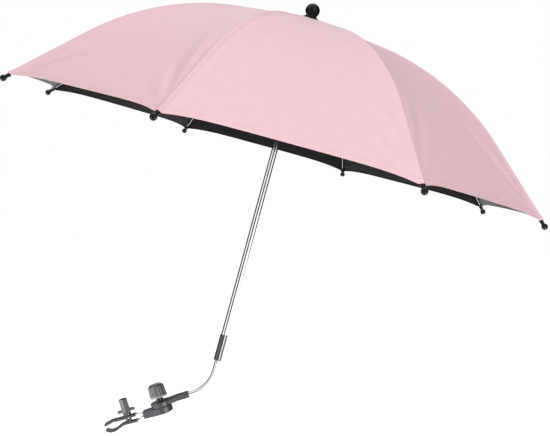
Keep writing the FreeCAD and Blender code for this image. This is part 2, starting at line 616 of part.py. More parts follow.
def pole_sleeve():
    """Ferrule with the pole in its upper bore and the thinner rod in its lower one."""
    low = -RING_TO_SLEEVE - SLEEVE_LENGTH
    body = Part.makeCylinder(SLEEVE_RADIUS, SLEEVE_LENGTH, Vector(0, 0, low))
    body = body.makeFillet(SLEEVE_ROUND, [e for e in body.Edges if e.Closed])
    upper = Part.makeCylinder(POLE_RADIUS + FIT_GAP, POLE_INSERT, Vector(0, 0, -RING_TO_SLEEVE - POLE_INSERT))
    lower = Part.makeCylinder(ROD_RADIUS + FIT_GAP, ROD_INSERT, Vector(0, 0, low))
    return body.cut(upper).cut(lower)


# Bent rod and swivel

def bent_rod():
    """Rod from the socket, round one bend, to the sleeve; already in the parasol's frame."""
    start = (ROD_MOUTH[0] - ROD_INSERT * ARM_WAY[0], ROD_MOUTH[1] - ROD_INSERT * ARM_WAY[1])
    run = ROD_UPPER_RUN + ROD_INSERT
    end = (ROD_CORNER[0] + run * POLE_WAY[0], ROD_CORNER[1] + run * POLE_WAY[1])
    path = Part.Wire(side_edges([start, ROD_CORNER, end], [ROD_BEND_RADIUS], 0.0))
    section = Part.Wire(Part.makeCircle(ROD_RADIUS, flat(start), flat(ARM_WAY)))
    return path.makePipeShell([section], True, False)


def clamp_arm():
    """Eye and tail under the swivel, with a pocket for the nut and seats for the two spring strips."""
    eye = Part.makeCylinder(EYE_RADIUS, ARM_THICKNESS, Vector(0, 0, -ARM_THICKNESS))
    eye = eye.makeChamfer(EYE_CHAMFER, [e for e in eye.Edges if e.Closed])
    half = ARM_TAIL_WIDTH / 2
    flank = EYE_RADIUS * math.sin(math.radians(ARM_TAIL_ROOT_ANGLE))
    root = EYE_RADIUS * math.cos(math.radians(ARM_TAIL_ROOT_ANGLE))
    outline = [(-ARM_TAIL, -half), (root, -flank), (root, flank), (-ARM_TAIL, half)]
    wire = Part.makePolygon([Vector(x, y, -ARM_THICKNESS) for x, y in outline + outline[:1]])
    tail = Part.Face(wire).extrude(UP * ARM_THICKNESS)
    end = FIT_GAP - ARM_TAIL
    tail = rounded(tail, ARM_ROUND, lambda e: e.BoundBox.XMax < end and e.BoundBox.ZLength > FIT_GAP)
    body = eye.fuse(tail).removeSplitter()
    body = body.cut(cylinder(BOLT_RADIUS + SLIP_GAP, Vector(0, 0, -ARM_THICKNESS), UP, ARM_THICKNESS))
    body = body.cut(hex_prism(NUT_FLATS + 2 * FIT_GAP, -ARM_THICKNESS, NUT_HEIGHT + FIT_GAP))
    return body.cut(strip_seats()).removeSplitter()


def regular_wire(flats, sides, height, turn=0.0):
    """Regular polygon about Z, given across its flats, with a corner on X unless it is turned."""
    corner = Vector(flats / 2 / math.cos(math.pi / sides), 0, height)
    points = [Rotation(UP, turn + 360.0 * i / sides).multVec(corner) for i in range(sides)]
    return Part.makePolygon(points + points[:1])


def hex_prism(flats, low, height):
    return Part.Face(regular_wire(flats, 6, low)).extrude(UP * height)


def strip_seats():
    """Room in the arm for the upper strip's bead and swing, and for the lower strip's root."""
    wide = STRIP_WIDTH + 2 * SLIP_GAP
    bead = cross_pin((BEAD_X, BEAD_Z), BEAD_RADIUS + RUN_GAP, wide)
    low = BEAD_Z - STRIP_THICKNESS / 2 - FREE_GAP
    high = BEAD_Z + STRIP_THICKNESS / 2 + FREE_GAP
    run = ARM_TAIL + BEAD_X + OVERCUT
    rise = run * math.tan(math.radians(JAW_OPEN_ANGLE) + upper_strip_slope())
    mouth = [(BEAD_X, low), (BEAD_X - run, low), (BEAD_X - run, high + rise), (BEAD_X, high)]
    wire = Part.makePolygon([flat(p, -wide / 2) for p in mouth + mouth[:1]])
    swing = Part.Face(wire).extrude(ACROSS * wide)
    root_height = STRIP_THICKNESS + 2 * FIT_GAP
    root = Part.makeBox(ARM_TAIL + LOWER_STRIP_ROOT + OVERCUT, wide, root_height,
                        Vector(-ARM_TAIL - OVERCUT, -wide / 2, LOWER_STRIP_Z - root_height / 2))
    return Part.makeCompound([bead, swing, root])


def upper_strip_slope():
    """Angle in radians at which the upper strip rises from its bead to the jaw."""
    end = strip_end(UPPER_JAW_LINE)[0]
    return math.atan2(end[1] - BEAD_Z, BEAD_X - end[0])


def swivel_nut():
    nut = hex_prism(NUT_FLATS, -ARM_THICKNESS, NUT_HEIGHT)
    return nut.cut(cylinder(BOLT_RADIUS + RUN_GAP, Vector(0, 0, -ARM_THICKNESS), UP, NUT_HEIGHT))


def socket_arm():
    """Upper eye with a spoon-shaped neck that swells into the rod's round socket."""
    eye = Part.makeCylinder(EYE_RADIUS, EYE_THICKNESS, Vector(0, 0, EYE_Z))
    eye = eye.makeChamfer(EYE_CHAMFER, [e for e in eye.Edges if e.Closed])
    socket = cylinder(SOCKET_RADIUS, Vector(SOCKET_START, 0, SOCKET_HEIGHT), ALONG, SOCKET_END - SOCKET_START)
    socket = rounded(socket, SLEEVE_ROUND, lambda e: e.Closed and e.BoundBox.XMin > SOCKET_END - FIT_GAP)
    neck = Part.makeLoft([neck_section(), socket_section()], True, True)
    body = eye.fuse([neck, socket])
    below = Part.makeBox(2 * SOCKET_END, 4 * EYE_RADIUS, EYE_THICKNESS)
    below.translate(Vector(-EYE_RADIUS, -2 * EYE_RADIUS, EYE_Z - EYE_THICKNESS))
    body = body.cut(below).removeSplitter()
    bore_start = Vector(SOCKET_END - ROD_INSERT, 0, SOCKET_HEIGHT)
    body = body.cut(cylinder(ROD_RADIUS + FIT_GAP, bore_start, ALONG, ROD_INSERT))
    return body.cut(cylinder(BOLT_RADIUS + SIDE_GAP, Vector(0, 0, EYE_Z), UP, EYE_THICKNESS))


def four_sided(points):
    """Closed wire of four arcs, each given by its start, its middle and the next start."""
    edges = []
    for i, (start, middle) in enumerate(points):
        end = points[(i + 1) % len(points)][0]
        edges.append(Part.Arc(start, middle, end).toShape())
    return Part.Wire(edges)


def oval_section(x, half_width, low, high, squareness):
    """Oval across the arm; squareness says how far its quarter arcs bulge towards a rectangle."""
    mid = (low + high) / 2
    half = (high - low) / 2
    corners = [(1, 0), (0, 1), (-1, 0), (0, -1)]
    points = []
    for i, (y, z) in enumerate(corners):
        ny, nz = corners[(i + 1) % 4]
        start = Vector(x, y * half_width, mid + z * half)
        middle = Vector(x, (y + ny) * half_width * squareness, mid + (z + nz) * half * squareness)
        points.append((start, middle))
    return four_sided(points)


def neck_section():
    return oval_section(NECK_START, NECK_WIDTH / 2, EYE_Z, NECK_TOP, NECK_SQUARENESS)


def socket_section():
    round_share = math.cos(math.radians(45))
    return oval_section(SOCKET_START, SOCKET_RADIUS, SOCKET_HEIGHT - SOCKET_RADIUS,
                        SOCKET_HEIGHT + SOCKET_RADIUS, round_share)


def swivel_collar():
    """Turned collar between the eye and the knob, with a step under the knob."""
    step = COLLAR_Z + COLLAR_HEIGHT - COLLAR_STEP
    top = COLLAR_Z + COLLAR_HEIGHT
    bore = BOLT_RADIUS + FIT_GAP
    return revolved([(bore, COLLAR_Z), (COLLAR_RADIUS, COLLAR_Z), (COLLAR_RADIUS, step),
                     (COLLAR_STEP_RADIUS, step), (COLLAR_STEP_RADIUS, top), (bore, top)])


def swivel_bolt():
    return cylinder(BOLT_RADIUS, Vector(0, 0, -BOLT_BELOW), UP, KNOB_Z + BOLT_IN_KNOB + BOLT_BELOW)


def knob_ring():
    """Lighter rim ring round the foot of the swivel knob."""
    inner = KNOB_RING_RADIUS - KNOB_RING_WALL
    ring = Part.makeCylinder(KNOB_RING_RADIUS, KNOB_RING_HEIGHT, Vector(0, 0, KNOB_Z))
    ring = ring.makeChamfer(KNOB_RING_CHAMFER, [e for e in ring.Edges if e.Closed])
    return ring.cut(Part.makeCylinder(inner, KNOB_RING_HEIGHT, Vector(0, 0, KNOB_Z)))


def swivel_knob():
    """Domed grip with flutes; a spigot below sits inside the rim ring."""
    low = KNOB_Z + KNOB_RING_HEIGHT
    top = KNOB_Z + KNOB_HEIGHT
    body = Part.makeCone(KNOB_RADIUS, KNOB_TOP_RADIUS, top - low, Vector(0, 0, low))
    body = rounded(body, KNOB_DOME, lambda e: e.Closed and e.BoundBox.ZMin > top - FIT_GAP)
    lean = math.degrees(math.atan2(KNOB_RADIUS - KNOB_TOP_RADIUS, top - low))
    flute = Part.makeCylinder(KNOB_FLUTE_RADIUS, 2 * KNOB_HEIGHT, Vector(0, 0, -KNOB_HEIGHT / 4))
    flute.rotate(Vector(), ACROSS, -lean)
    flute.translate(Vector(KNOB_RADIUS + KNOB_FLUTE_RADIUS - KNOB_FLUTE_DEPTH, 0, low))
    body = body.cut(Part.makeCompound(spun(flute, KNOB_FLUTES)))
    spigot_radius = KNOB_RING_RADIUS - KNOB_RING_WALL - FIT_GAP
    spigot = Part.makeCylinder(spigot_radius, KNOB_RING_HEIGHT, Vector(0, 0, KNOB_Z))
    bore = Part.makeCylinder(BOLT_RADIUS + FIT_GAP, BOLT_IN_KNOB + FIT_GAP, Vector(0, 0, KNOB_Z))
    return body.fuse(spigot).cut(bore).removeSplitter()


# Clamp

def bar_bore():
    """The pram tube's cylinder in the clamp frame, which leaves a shallow groove in each jaw."""
    return cross_pin((-GRIP_BEHIND_SWIVEL, -GRIP_BELOW_SWIVEL), BAR_RADIUS, 2 * JAW_WIDTH)


def strip_pocket(line, thickness):
    """Slot in a jaw's end that holds its strip."""
    end = towards(line[0], line[1], STRIP_IN_JAW + FIT_GAP)
    half = thickness / 2 + FIT_GAP
    return band([line[0], end], [], -half, half, STRIP_WIDTH + 2 * FIT_GAP)


def jaw_rivet_point(line):
    return towards(line[0], line[1], STRIP_IN_JAW / 2)


def jaw(line, bends, thickness):
    """Bent jaw with rounded flanks, the strip's slot, its rivet hole and the pram tube's groove."""
    body = band(line, bends, -thickness / 2, thickness / 2, JAW_WIDTH)
    body = body.fuse(cross_pin(line[-1], thickness / 2, JAW_WIDTH)).removeSplitter()
    body = rounded(body, JAW_ROUND, lambda e: e.BoundBox.YLength < FIT_GAP)
    body = body.cut(strip_pocket(line, STRIP_THICKNESS)).cut(bar_bore())
    point = flat(jaw_rivet_point(line))
    return body.cut(cylinder(JAW_RIVET_RADIUS + FIT_GAP, point - UP * thickness, UP, 2 * thickness))


def jaw_rivet(line, thickness):
    """Rivet through jaw and strip, flush with both faces."""
    point = flat(jaw_rivet_point(line))
    return cylinder(JAW_RIVET_RADIUS, point - UP * (thickness / 2), UP, thickness)


def upper_jaw():
    body = jaw(UPPER_JAW_LINE, UPPER_JAW_BENDS, UPPER_JAW_THICKNESS)
    half = SCREW_RADIUS + FREE_GAP
    centre = SCREW_X - SCREW_SLOT_SHIFT
    low = -2 * UPPER_JAW_THICKNESS
    slot = Part.makeBox(2 * SCREW_SLOT_SPARE, 2 * half, 4 * UPPER_JAW_THICKNESS,
                        Vector(centre - SCREW_SLOT_SPARE, -half, low))
    ends = [cylinder(half, Vector(centre + side * SCREW_SLOT_SPARE, 0, low), UP, 4 * UPPER_JAW_THICKNESS)
            for side in (-1, 1)]
    return body.cut(slot.fuse(ends))


def lower_jaw():
    body = jaw(LOWER_JAW_LINE, LOWER_JAW_BENDS, LOWER_JAW_THICKNESS)
    low = SCREW_BOTTOM - LOWER_JAW_THICKNESS
    return body.cut(cylinder(BUSH_RADIUS + FIT_GAP, Vector(SCREW_X, 0, low), UP, 4 * LOWER_JAW_THICKNESS))


def strip_end(line):
    """The straight end of a strip: a point just short of the jaw and the end inside it."""
    return [towards(line[0], line[1], -STRIP_LEAD), towards(line[0], line[1], STRIP_IN_JAW)]


def upper_jaw_strip():
    """Spring strip with a rolled bead that turns in the arm."""
    start = (BEAD_X, BEAD_Z)
    line = [start, *strip_end(UPPER_JAW_LINE)]
    body = band(line, STRIP_BENDS[:1], -STRIP_THICKNESS / 2, STRIP_THICKNESS / 2, STRIP_WIDTH)
    body = body.fuse(cross_pin(start, BEAD_RADIUS, STRIP_WIDTH)).removeSplitter()
    point = flat(jaw_rivet_point(UPPER_JAW_LINE))
    return body.cut(cylinder(JAW_RIVET_RADIUS + FIT_GAP, point - UP * STRIP_IN_JAW, UP, 2 * STRIP_IN_JAW))


def lower_jaw_strip():
    """Spring strip, straight out of the arm and then down to the lower jaw."""
    line = [(LOWER_STRIP_ROOT, LOWER_STRIP_Z), (LOWER_STRIP_KNEE, LOWER_STRIP_Z), *strip_end(LOWER_JAW_LINE)]
    body = band(line, STRIP_BENDS, -STRIP_THICKNESS / 2, STRIP_THICKNESS / 2, STRIP_WIDTH)
    point = flat(jaw_rivet_point(LOWER_JAW_LINE))
    return body.cut(cylinder(JAW_RIVET_RADIUS + FIT_GAP, point - UP * STRIP_IN_JAW, UP, 2 * STRIP_IN_JAW))


def screw_bush():
    """Threaded bush through the lower jaw, standing up between the jaws."""
    bush = cylinder(BUSH_RADIUS, Vector(SCREW_X, 0, SCREW_BOTTOM), UP, LOWER_JAW_THICKNESS + BUSH_PROUD)
    return bush.cut(cylinder(SCREW_RADIUS + RUN_GAP, Vector(SCREW_X, 0, SCREW_BOTTOM), UP,
                             LOWER_JAW_THICKNESS + BUSH_PROUD))


def clamp_screw():
    return cylinder(SCREW_RADIUS, Vector(SCREW_X, 0, SCREW_BOTTOM), UP, WING_Z + SCREW_IN_KNOB - SCREW_BOTTOM)


def jaw_collar():
    seat = Vector(SCREW_X, 0, JAW_COLLAR_Z)
    collar = Part.makeCylinder(JAW_COLLAR_RADIUS, JAW_COLLAR_HEIGHT, seat)
    collar = collar.makeChamfer(JAW_COLLAR_CHAMFER, [e for e in collar.Edges if e.Closed])
    return collar.cut(cylinder(SCREW_RADIUS + FIT_GAP, seat, UP, JAW_COLLAR_HEIGHT))


def wing_knob():
    """Six-sided tapered post on a hub with a round cross bar."""
    hub_height = 2 * WING_BAR_RADIUS
    hub = Part.makeCylinder(WING_HUB_RADIUS, hub_height, Vector(0, 0, WING_Z))
    bar_half = WING_SPAN / 2 - WING_BAR_RADIUS
    bar_z = WING_Z + WING_BAR_RADIUS
    bar = cylinder(WING_BAR_RADIUS, Vector(-bar_half, 0, bar_z), ALONG, 2 * bar_half)
    ends = [Part.makeSphere(WING_BAR_RADIUS, Vector(side * bar_half, 0, bar_z)) for side in (-1, 1)]
    foot = regular_wire(WING_POST_WIDTH + WING_POST_TAPER, WING_POST_SIDES, WING_Z, WING_POST_TURN)
    top = regular_wire(WING_POST_WIDTH, WING_POST_SIDES, WING_Z + WING_POST_HEIGHT, WING_POST_TURN)
    post = Part.makeLoft([foot, top], True, True)
    post = rounded(post, WING_POST_TAPER, lambda e: e.BoundBox.ZMax > WING_Z + FIT_GAP)
    body = hub.fuse([bar, post, *ends]).removeSplitter()
    body = body.cut(Part.makeCylinder(SCREW_RADIUS + FIT_GAP, SCREW_IN_KNOB + FIT_GAP, Vector(0, 0, WING_Z)))
    return body.translated(ALONG * SCREW_X)


def pieces():
    """Every node's name and its solid in the parasol's frame."""
    clamp = {
        "clamp_arm": clamp_arm(), "swivel_nut": swivel_nut(), "lower_jaw_strip": lower_jaw_strip(),
        "lower_jaw": lower_jaw(), "lower_jaw_rivet": jaw_rivet(LOWER_JAW_LINE, LOWER_JAW_THICKNESS),
        "screw_bush": screw_bush(), "upper_jaw_strip": upper_jaw_strip(), "upper_jaw": upper_jaw(),
        "upper_jaw_rivet": jaw_rivet(UPPER_JAW_LINE, UPPER_JAW_THICKNESS), "jaw_collar": jaw_collar(),
        "wing_knob": wing_knob(), "clamp_screw": clamp_screw(), "socket_arm": socket_arm(),
        "swivel_collar": swivel_collar(), "swivel_knob": swivel_knob(), "knob_ring": knob_ring(),
        "swivel_bolt": swivel_bolt()}
    mast = {
        "pole_sleeve": pole_sleeve(), "pole": pole(), "top_notch": top_notch(),
        "notch_wire": wire_ring(HUB_PIVOT_RADIUS, HUB_HEIGHT), "finial": finial(), "runner": runner(),
        "runner_wire": wire_ring(RUNNER_WIRE_RING, RUNNER_HEIGHT), "catch_spring": catch_spring()}
    spokes = {"rib": rib(), "rib_tip": rib_tip(), "stretcher": stretcher(), "canopy": canopy_segment()}
    solids = {"bent_rod": bent_rod()}
    for name, shape in clamp.items():
        solids[name] = placed(shape, CLAMP_FRAME)
    for name, shape in mast.items():
        solids[name] = placed(shape, POLE_FRAME)
    for name, shape in spokes.items():
        for number in range(1, RIB_COUNT + 1):
            solids[f"{name}_{number}"] = placed(shape, rib_frame(number))
    return solids


def main():
    os.makedirs("parts", exist_ok=True)
    for name, shape in pieces().items():
        if not shape.isValid() or len(shape.Solids) != 1:
            print("check", name, "valid", shape.isValid(), "solids", len(shape.Solids))
        shape.exportStep(f"parts/{name}.step")


if __name__ == "__main__":
    main()
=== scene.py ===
"""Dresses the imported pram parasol: sewn canopy cloth, moulded and plated fittings, and a plain studio."""

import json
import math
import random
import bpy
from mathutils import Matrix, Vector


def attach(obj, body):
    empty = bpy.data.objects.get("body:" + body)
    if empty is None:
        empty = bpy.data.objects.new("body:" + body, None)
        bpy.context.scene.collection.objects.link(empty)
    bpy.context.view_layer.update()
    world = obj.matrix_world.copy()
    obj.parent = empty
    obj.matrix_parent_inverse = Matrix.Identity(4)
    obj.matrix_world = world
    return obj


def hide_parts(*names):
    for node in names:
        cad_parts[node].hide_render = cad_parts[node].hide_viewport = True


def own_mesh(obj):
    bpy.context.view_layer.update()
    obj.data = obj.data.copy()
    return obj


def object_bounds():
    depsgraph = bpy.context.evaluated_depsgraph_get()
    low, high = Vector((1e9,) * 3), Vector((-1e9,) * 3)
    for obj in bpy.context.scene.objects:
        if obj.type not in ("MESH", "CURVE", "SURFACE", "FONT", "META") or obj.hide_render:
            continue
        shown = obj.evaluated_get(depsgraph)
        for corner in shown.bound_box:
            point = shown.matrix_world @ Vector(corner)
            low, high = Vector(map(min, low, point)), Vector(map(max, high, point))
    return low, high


bl_info = {
    "name": "Pram Parasol",
    "version": (1, 0, 0),
    "blender": (4, 5, 0),
    "location": "3D View > Sidebar > Parasol",
    "description": "Sews the canopy onto the parasol's frame and gives every fitting its finish",
    "category": "Object",
}

import bmesh
import bpy
from bpy.props import FloatProperty, FloatVectorProperty, PointerProperty
from mathutils import Matrix, Vector

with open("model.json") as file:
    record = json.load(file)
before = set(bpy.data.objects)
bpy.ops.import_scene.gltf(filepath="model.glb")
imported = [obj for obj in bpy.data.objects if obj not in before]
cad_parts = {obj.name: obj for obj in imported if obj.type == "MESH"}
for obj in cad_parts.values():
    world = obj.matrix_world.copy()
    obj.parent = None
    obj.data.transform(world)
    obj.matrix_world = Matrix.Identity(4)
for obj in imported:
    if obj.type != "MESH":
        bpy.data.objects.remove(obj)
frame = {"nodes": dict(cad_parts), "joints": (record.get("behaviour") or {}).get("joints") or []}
CAD_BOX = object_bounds()
MM = 0.001

# Places that come from the frame
JOINTS = {joint["name"]: joint for joint in frame["joints"]}
RIBS = range(1, 1 + sum(name.startswith("rib_") for name in JOINTS))
POLE_UP = -Vector(JOINTS["runner_slide"]["axis"]).normalized()
HUB_PIVOTS = {number: Vector(JOINTS[f"rib_{number}_fold"]["pos_m"]) for number in RIBS}
HUB_CENTRE = sum(HUB_PIVOTS.values(), Vector()) / len(RIBS)
HUB_PIVOT_RADIUS = (HUB_PIVOTS[1] - HUB_CENTRE).length
HALF_GORE = math.pi / len(RIBS)
CLOTH_NAMES = {number: f"canopy_cloth_{number}" for number in RIBS}


def length_property(name, description, millimetres):
    return FloatProperty(name=name, description=description, default=millimetres * MM, subtype="DISTANCE",
                         unit="LENGTH", precision=5)


def angle_property(name, description, degrees):
    return FloatProperty(name=name, description=description, default=math.radians(degrees), subtype="ANGLE",
                         unit="ROTATION")


def number_property(name, description, value):
    return FloatProperty(name=name, description=description, default=value)


def colour_property(name, description, colour):
    return FloatVectorProperty(name=name, description=description, default=colour, subtype="COLOR", size=3,
                               min=0.0, max=1.0)


class ParasolCanopySettings(bpy.types.PropertyGroup):
    """Sizes and colours of the sewn canopy."""

    knee_radius: length_property("Rib Knee", "Radius where the rib's two straight runs would meet", 208.7)
    bend_radius: length_property("Rib Bend", "Radius of the bend between the rib's two runs", 346.09)
    crown_slope: angle_property("Crown Slope", "Slope of the rib at the crown", 9.2)
    hem_slope: angle_property("Hem Slope", "Slope of the rib at the hem", 43.5)
    cloth_rise: length_property("Cloth Rise", "Height of the cloth's face above the rib's middle", 2.75)
    thickness: length_property("Thickness", "Thickness of the coated cloth", 0.45)
    crown_radius: length_property("Crown Hole", "Radius of the hole in the cloth at the crown", 9.6)
    hem_radius: length_property("Hem Radius", "Radius of the hem at a rib", 366.2)
    scallop: length_property("Scallop", "How far the hem draws in between two ribs", 8.8)
    corner_width: length_property("Corner Width", "Half the width of the corner sewn to a rib's tip", 4.2)
    corner_drop: length_property("Corner Drop", "Fall of the cloth beside a rib at the tip", 2.3)
    ridge_width: length_property("Ridge Width", "Half the width of the ridge that the rib raises", 3.6)
    cup_rise: length_property("Cup Rise", "How far the tip's cup lifts the corner of the cloth", 0.7)
    sag: length_property("Sag", "How far the tight cloth draws in between two ribs", 7.0)
    hem_width: length_property("Hem Width", "Width of the turned hem", 8.0)
    hem_rise: length_property("Hem Rise", "Height of the turned hem over the cloth", 0.35)
    seam_width: length_property("Seam Width", "Width of the felled seam along a rib", 4.6)
    seam_rise: length_property("Seam Rise", "Height of the felled seam over the cloth", 0.4)
    stitch_length: length_property("Stitch Length", "Length of one stitch with its gap", 3.2)
    thread_radius: length_property("Thread Radius", "Radius of the sewing thread", 0.17)
    folded_share: FloatProperty(name="Folded Share", description="Width that the cloth keeps when folded",
                                default=0.3, min=0.05, max=1.0, subtype="FACTOR")
    cloth_colour: colour_property("Cloth", "Colour of the cloth's outer face", (0.79, 0.535, 0.574))
    lining_colour: colour_property("Lining", "Colour of the coated inner face", (0.0042, 0.0028, 0.0040))


class ParasolFinishSettings(bpy.types.PropertyGroup):
    """Colours of the moulded and plated fittings."""

    chrome_colour: colour_property("Chrome", "Colour of the chrome plate", (0.88, 0.88, 0.89))
    steel_colour: colour_property("Plated Steel", "Colour of the ribs and stretchers", (0.38, 0.38, 0.39))
    black_colour: colour_property("Black Plastic", "Colour of finial and rib tips", (0.005, 0.005, 0.006))
    grey_colour: colour_property("Grey Plastic", "Colour of the arms and jaws", (0.058, 0.055, 0.065))
    # Painted light: the knobs' colour is the arms' grey plastic painted lighter, for the light on their up-
    # and front-facing faces
    knob_colour_painted_lighter: colour_property("Knob Plastic", "Colour of the two knobs", (0.095, 0.0925, 0.1005))
    # The rim ring is light grey plastic, painted lighter still to stand in for the highlight along its rim
    ring_colour_painted_highlight: colour_property("Knob Ring", "Colour of the rim ring under the knob", (0.32, 0.32, 0.33))


class ParasolStageSettings(bpy.types.PropertyGroup):
    """Camera, floor and lamps of the studio."""

    camera_side: length_property("Camera X", "Camera position across the picture", 221.5)
    camera_back: length_property("Camera Distance", "Distance of the camera in front of the clamp", 1290.6)
    camera_height: length_property("Camera Height", "Height of the camera over the clamp", 362.2)
    camera_tilt: angle_property("Camera Tilt", "How far the camera looks down", 3.33)
    lens: number_property("Lens", "Focal length in millimetres on a 36 mm sensor", 61.7)
    floor_drop: length_property("Floor Drop", "How far the floor lies below the parasol", 300.0)
    key_power: number_property("Key Lamp", "Power of the front lamp in watts", 22.0)
    top_power: number_property("Top Lamp", "Power of the top lamp in watts", 8.0)
    side_power: number_property("Side Lamp", "Power of the right lamp, which only gloss mirrors", 5.0)
    low_power: number_property("Low Lamp", "Power of the low left lamp in watts", 7.5)
    ambient: number_property("Ambient", "Strength of the even studio light", 0.53)


# Small tools for meshes and objects

def rib_matrix(number):
    """A rib's own frame: X outwards, Z up the pole, with its origin at the hub's centre."""
    out = (HUB_PIVOTS[number] - HUB_CENTRE).normalized()
    side = POLE_UP.cross(out)
    matrix = Matrix((out, side, POLE_UP)).transposed().to_4x4()
    matrix.translation = HUB_CENTRE
    return matrix


def smooth_step(low, high, value):
    share = min(1.0, max(0.0, (value - low) / (high - low)))
    return share * share * (3.0 - 2.0 * share)


def plateau(value, low, high, soft):
    """One between low and high, zero outside, with soft shoulders outside them."""
    return smooth_step(low - soft, low, value) * (1.0 - smooth_step(high, high + soft, value))


def new_object(name, data):
    piece = bpy.data.objects.new(name, data)
    bpy.context.scene.collection.objects.link(piece)
    return piece


def only_selected(piece):
    bpy.ops.object.select_all(action="DESELECT")
    piece.select_set(True)
    bpy.context.view_layer.objects.active = piece


def apply_modifiers(piece):
    only_selected(piece)
    for modifier in list(piece.modifiers):
        bpy.ops.object.modifier_apply(modifier=modifier.name)


# A rib's two sides, and the one on which the felled seam lies
SIDES = (1, -1)
SEAM_SIDE = 1

# The hem's bow between two ribs: powers of the way across, and their parts, which add up to one
HEM_BOW = {2: 0.45, 6: 0.55}

# How the tight cloth lies: a pair gives where a change starts and where it is whole
CURVE_STEPS = 400
SAG_GROWS = (0.04, 0.7)
SAG_EASES = (0.8, 1.0)
SAG_EASE = 0.35
DOUBLED_STEP = 0.5 * MM
RIDGE_GROWS = (0.0, 0.25)
RIDGE_SHARPENS = (0.7, 1.0)
BLUNT_RIDGE = 0.2
CUP_REACH = (1.5 * MM, 6 * MM)
FOLD_STARTS = (6 * MM, 30 * MM)
FOLD_LEAVES_RIB = (3 * MM, 16 * MM)
FOLD_FADES_FROM = 0.3
FOLD_ENDS = (0.75, 0.97)
LEAST_RUN = 1e-9

# Small gathers beside the seam and above the hem: how they wave, the band that they fill and their height
SEAM_WAVES = {"wave": 6.5 * MM, "wander": 2.0, "wander_wave": 31 * MM}
SEAM_BAND = {"low": 5 * MM, "high": 7 * MM, "soft": 5 * MM}
SEAM_PUCKER = 0.12 * MM
HEM_WAVES = {"wave": 7.5 * MM, "wander": 2.3, "wander_wave": 32.25 * MM}
HEM_BAND = {"low": 8 * MM, "high": 10 * MM, "soft": 7 * MM}
HEM_PUCKER = 0.15 * MM
PUCKER_STARTS = (0.0, 30 * MM)
PUCKER_ENDS = (0.8, 0.98)


def doubled(distance, width):
    """One on the doubled cloth of a hem or seam, and zero just past it."""
    return 1.0 - smooth_step(width, width + DOUBLED_STEP, distance)


def gathers(along, wave, wander, wander_wave):
    """Waves that run close and wide by turns; wave and wander_wave are lengths to a radian."""
    return math.sin(along / wave + wander * math.sin(along / wander_wave))


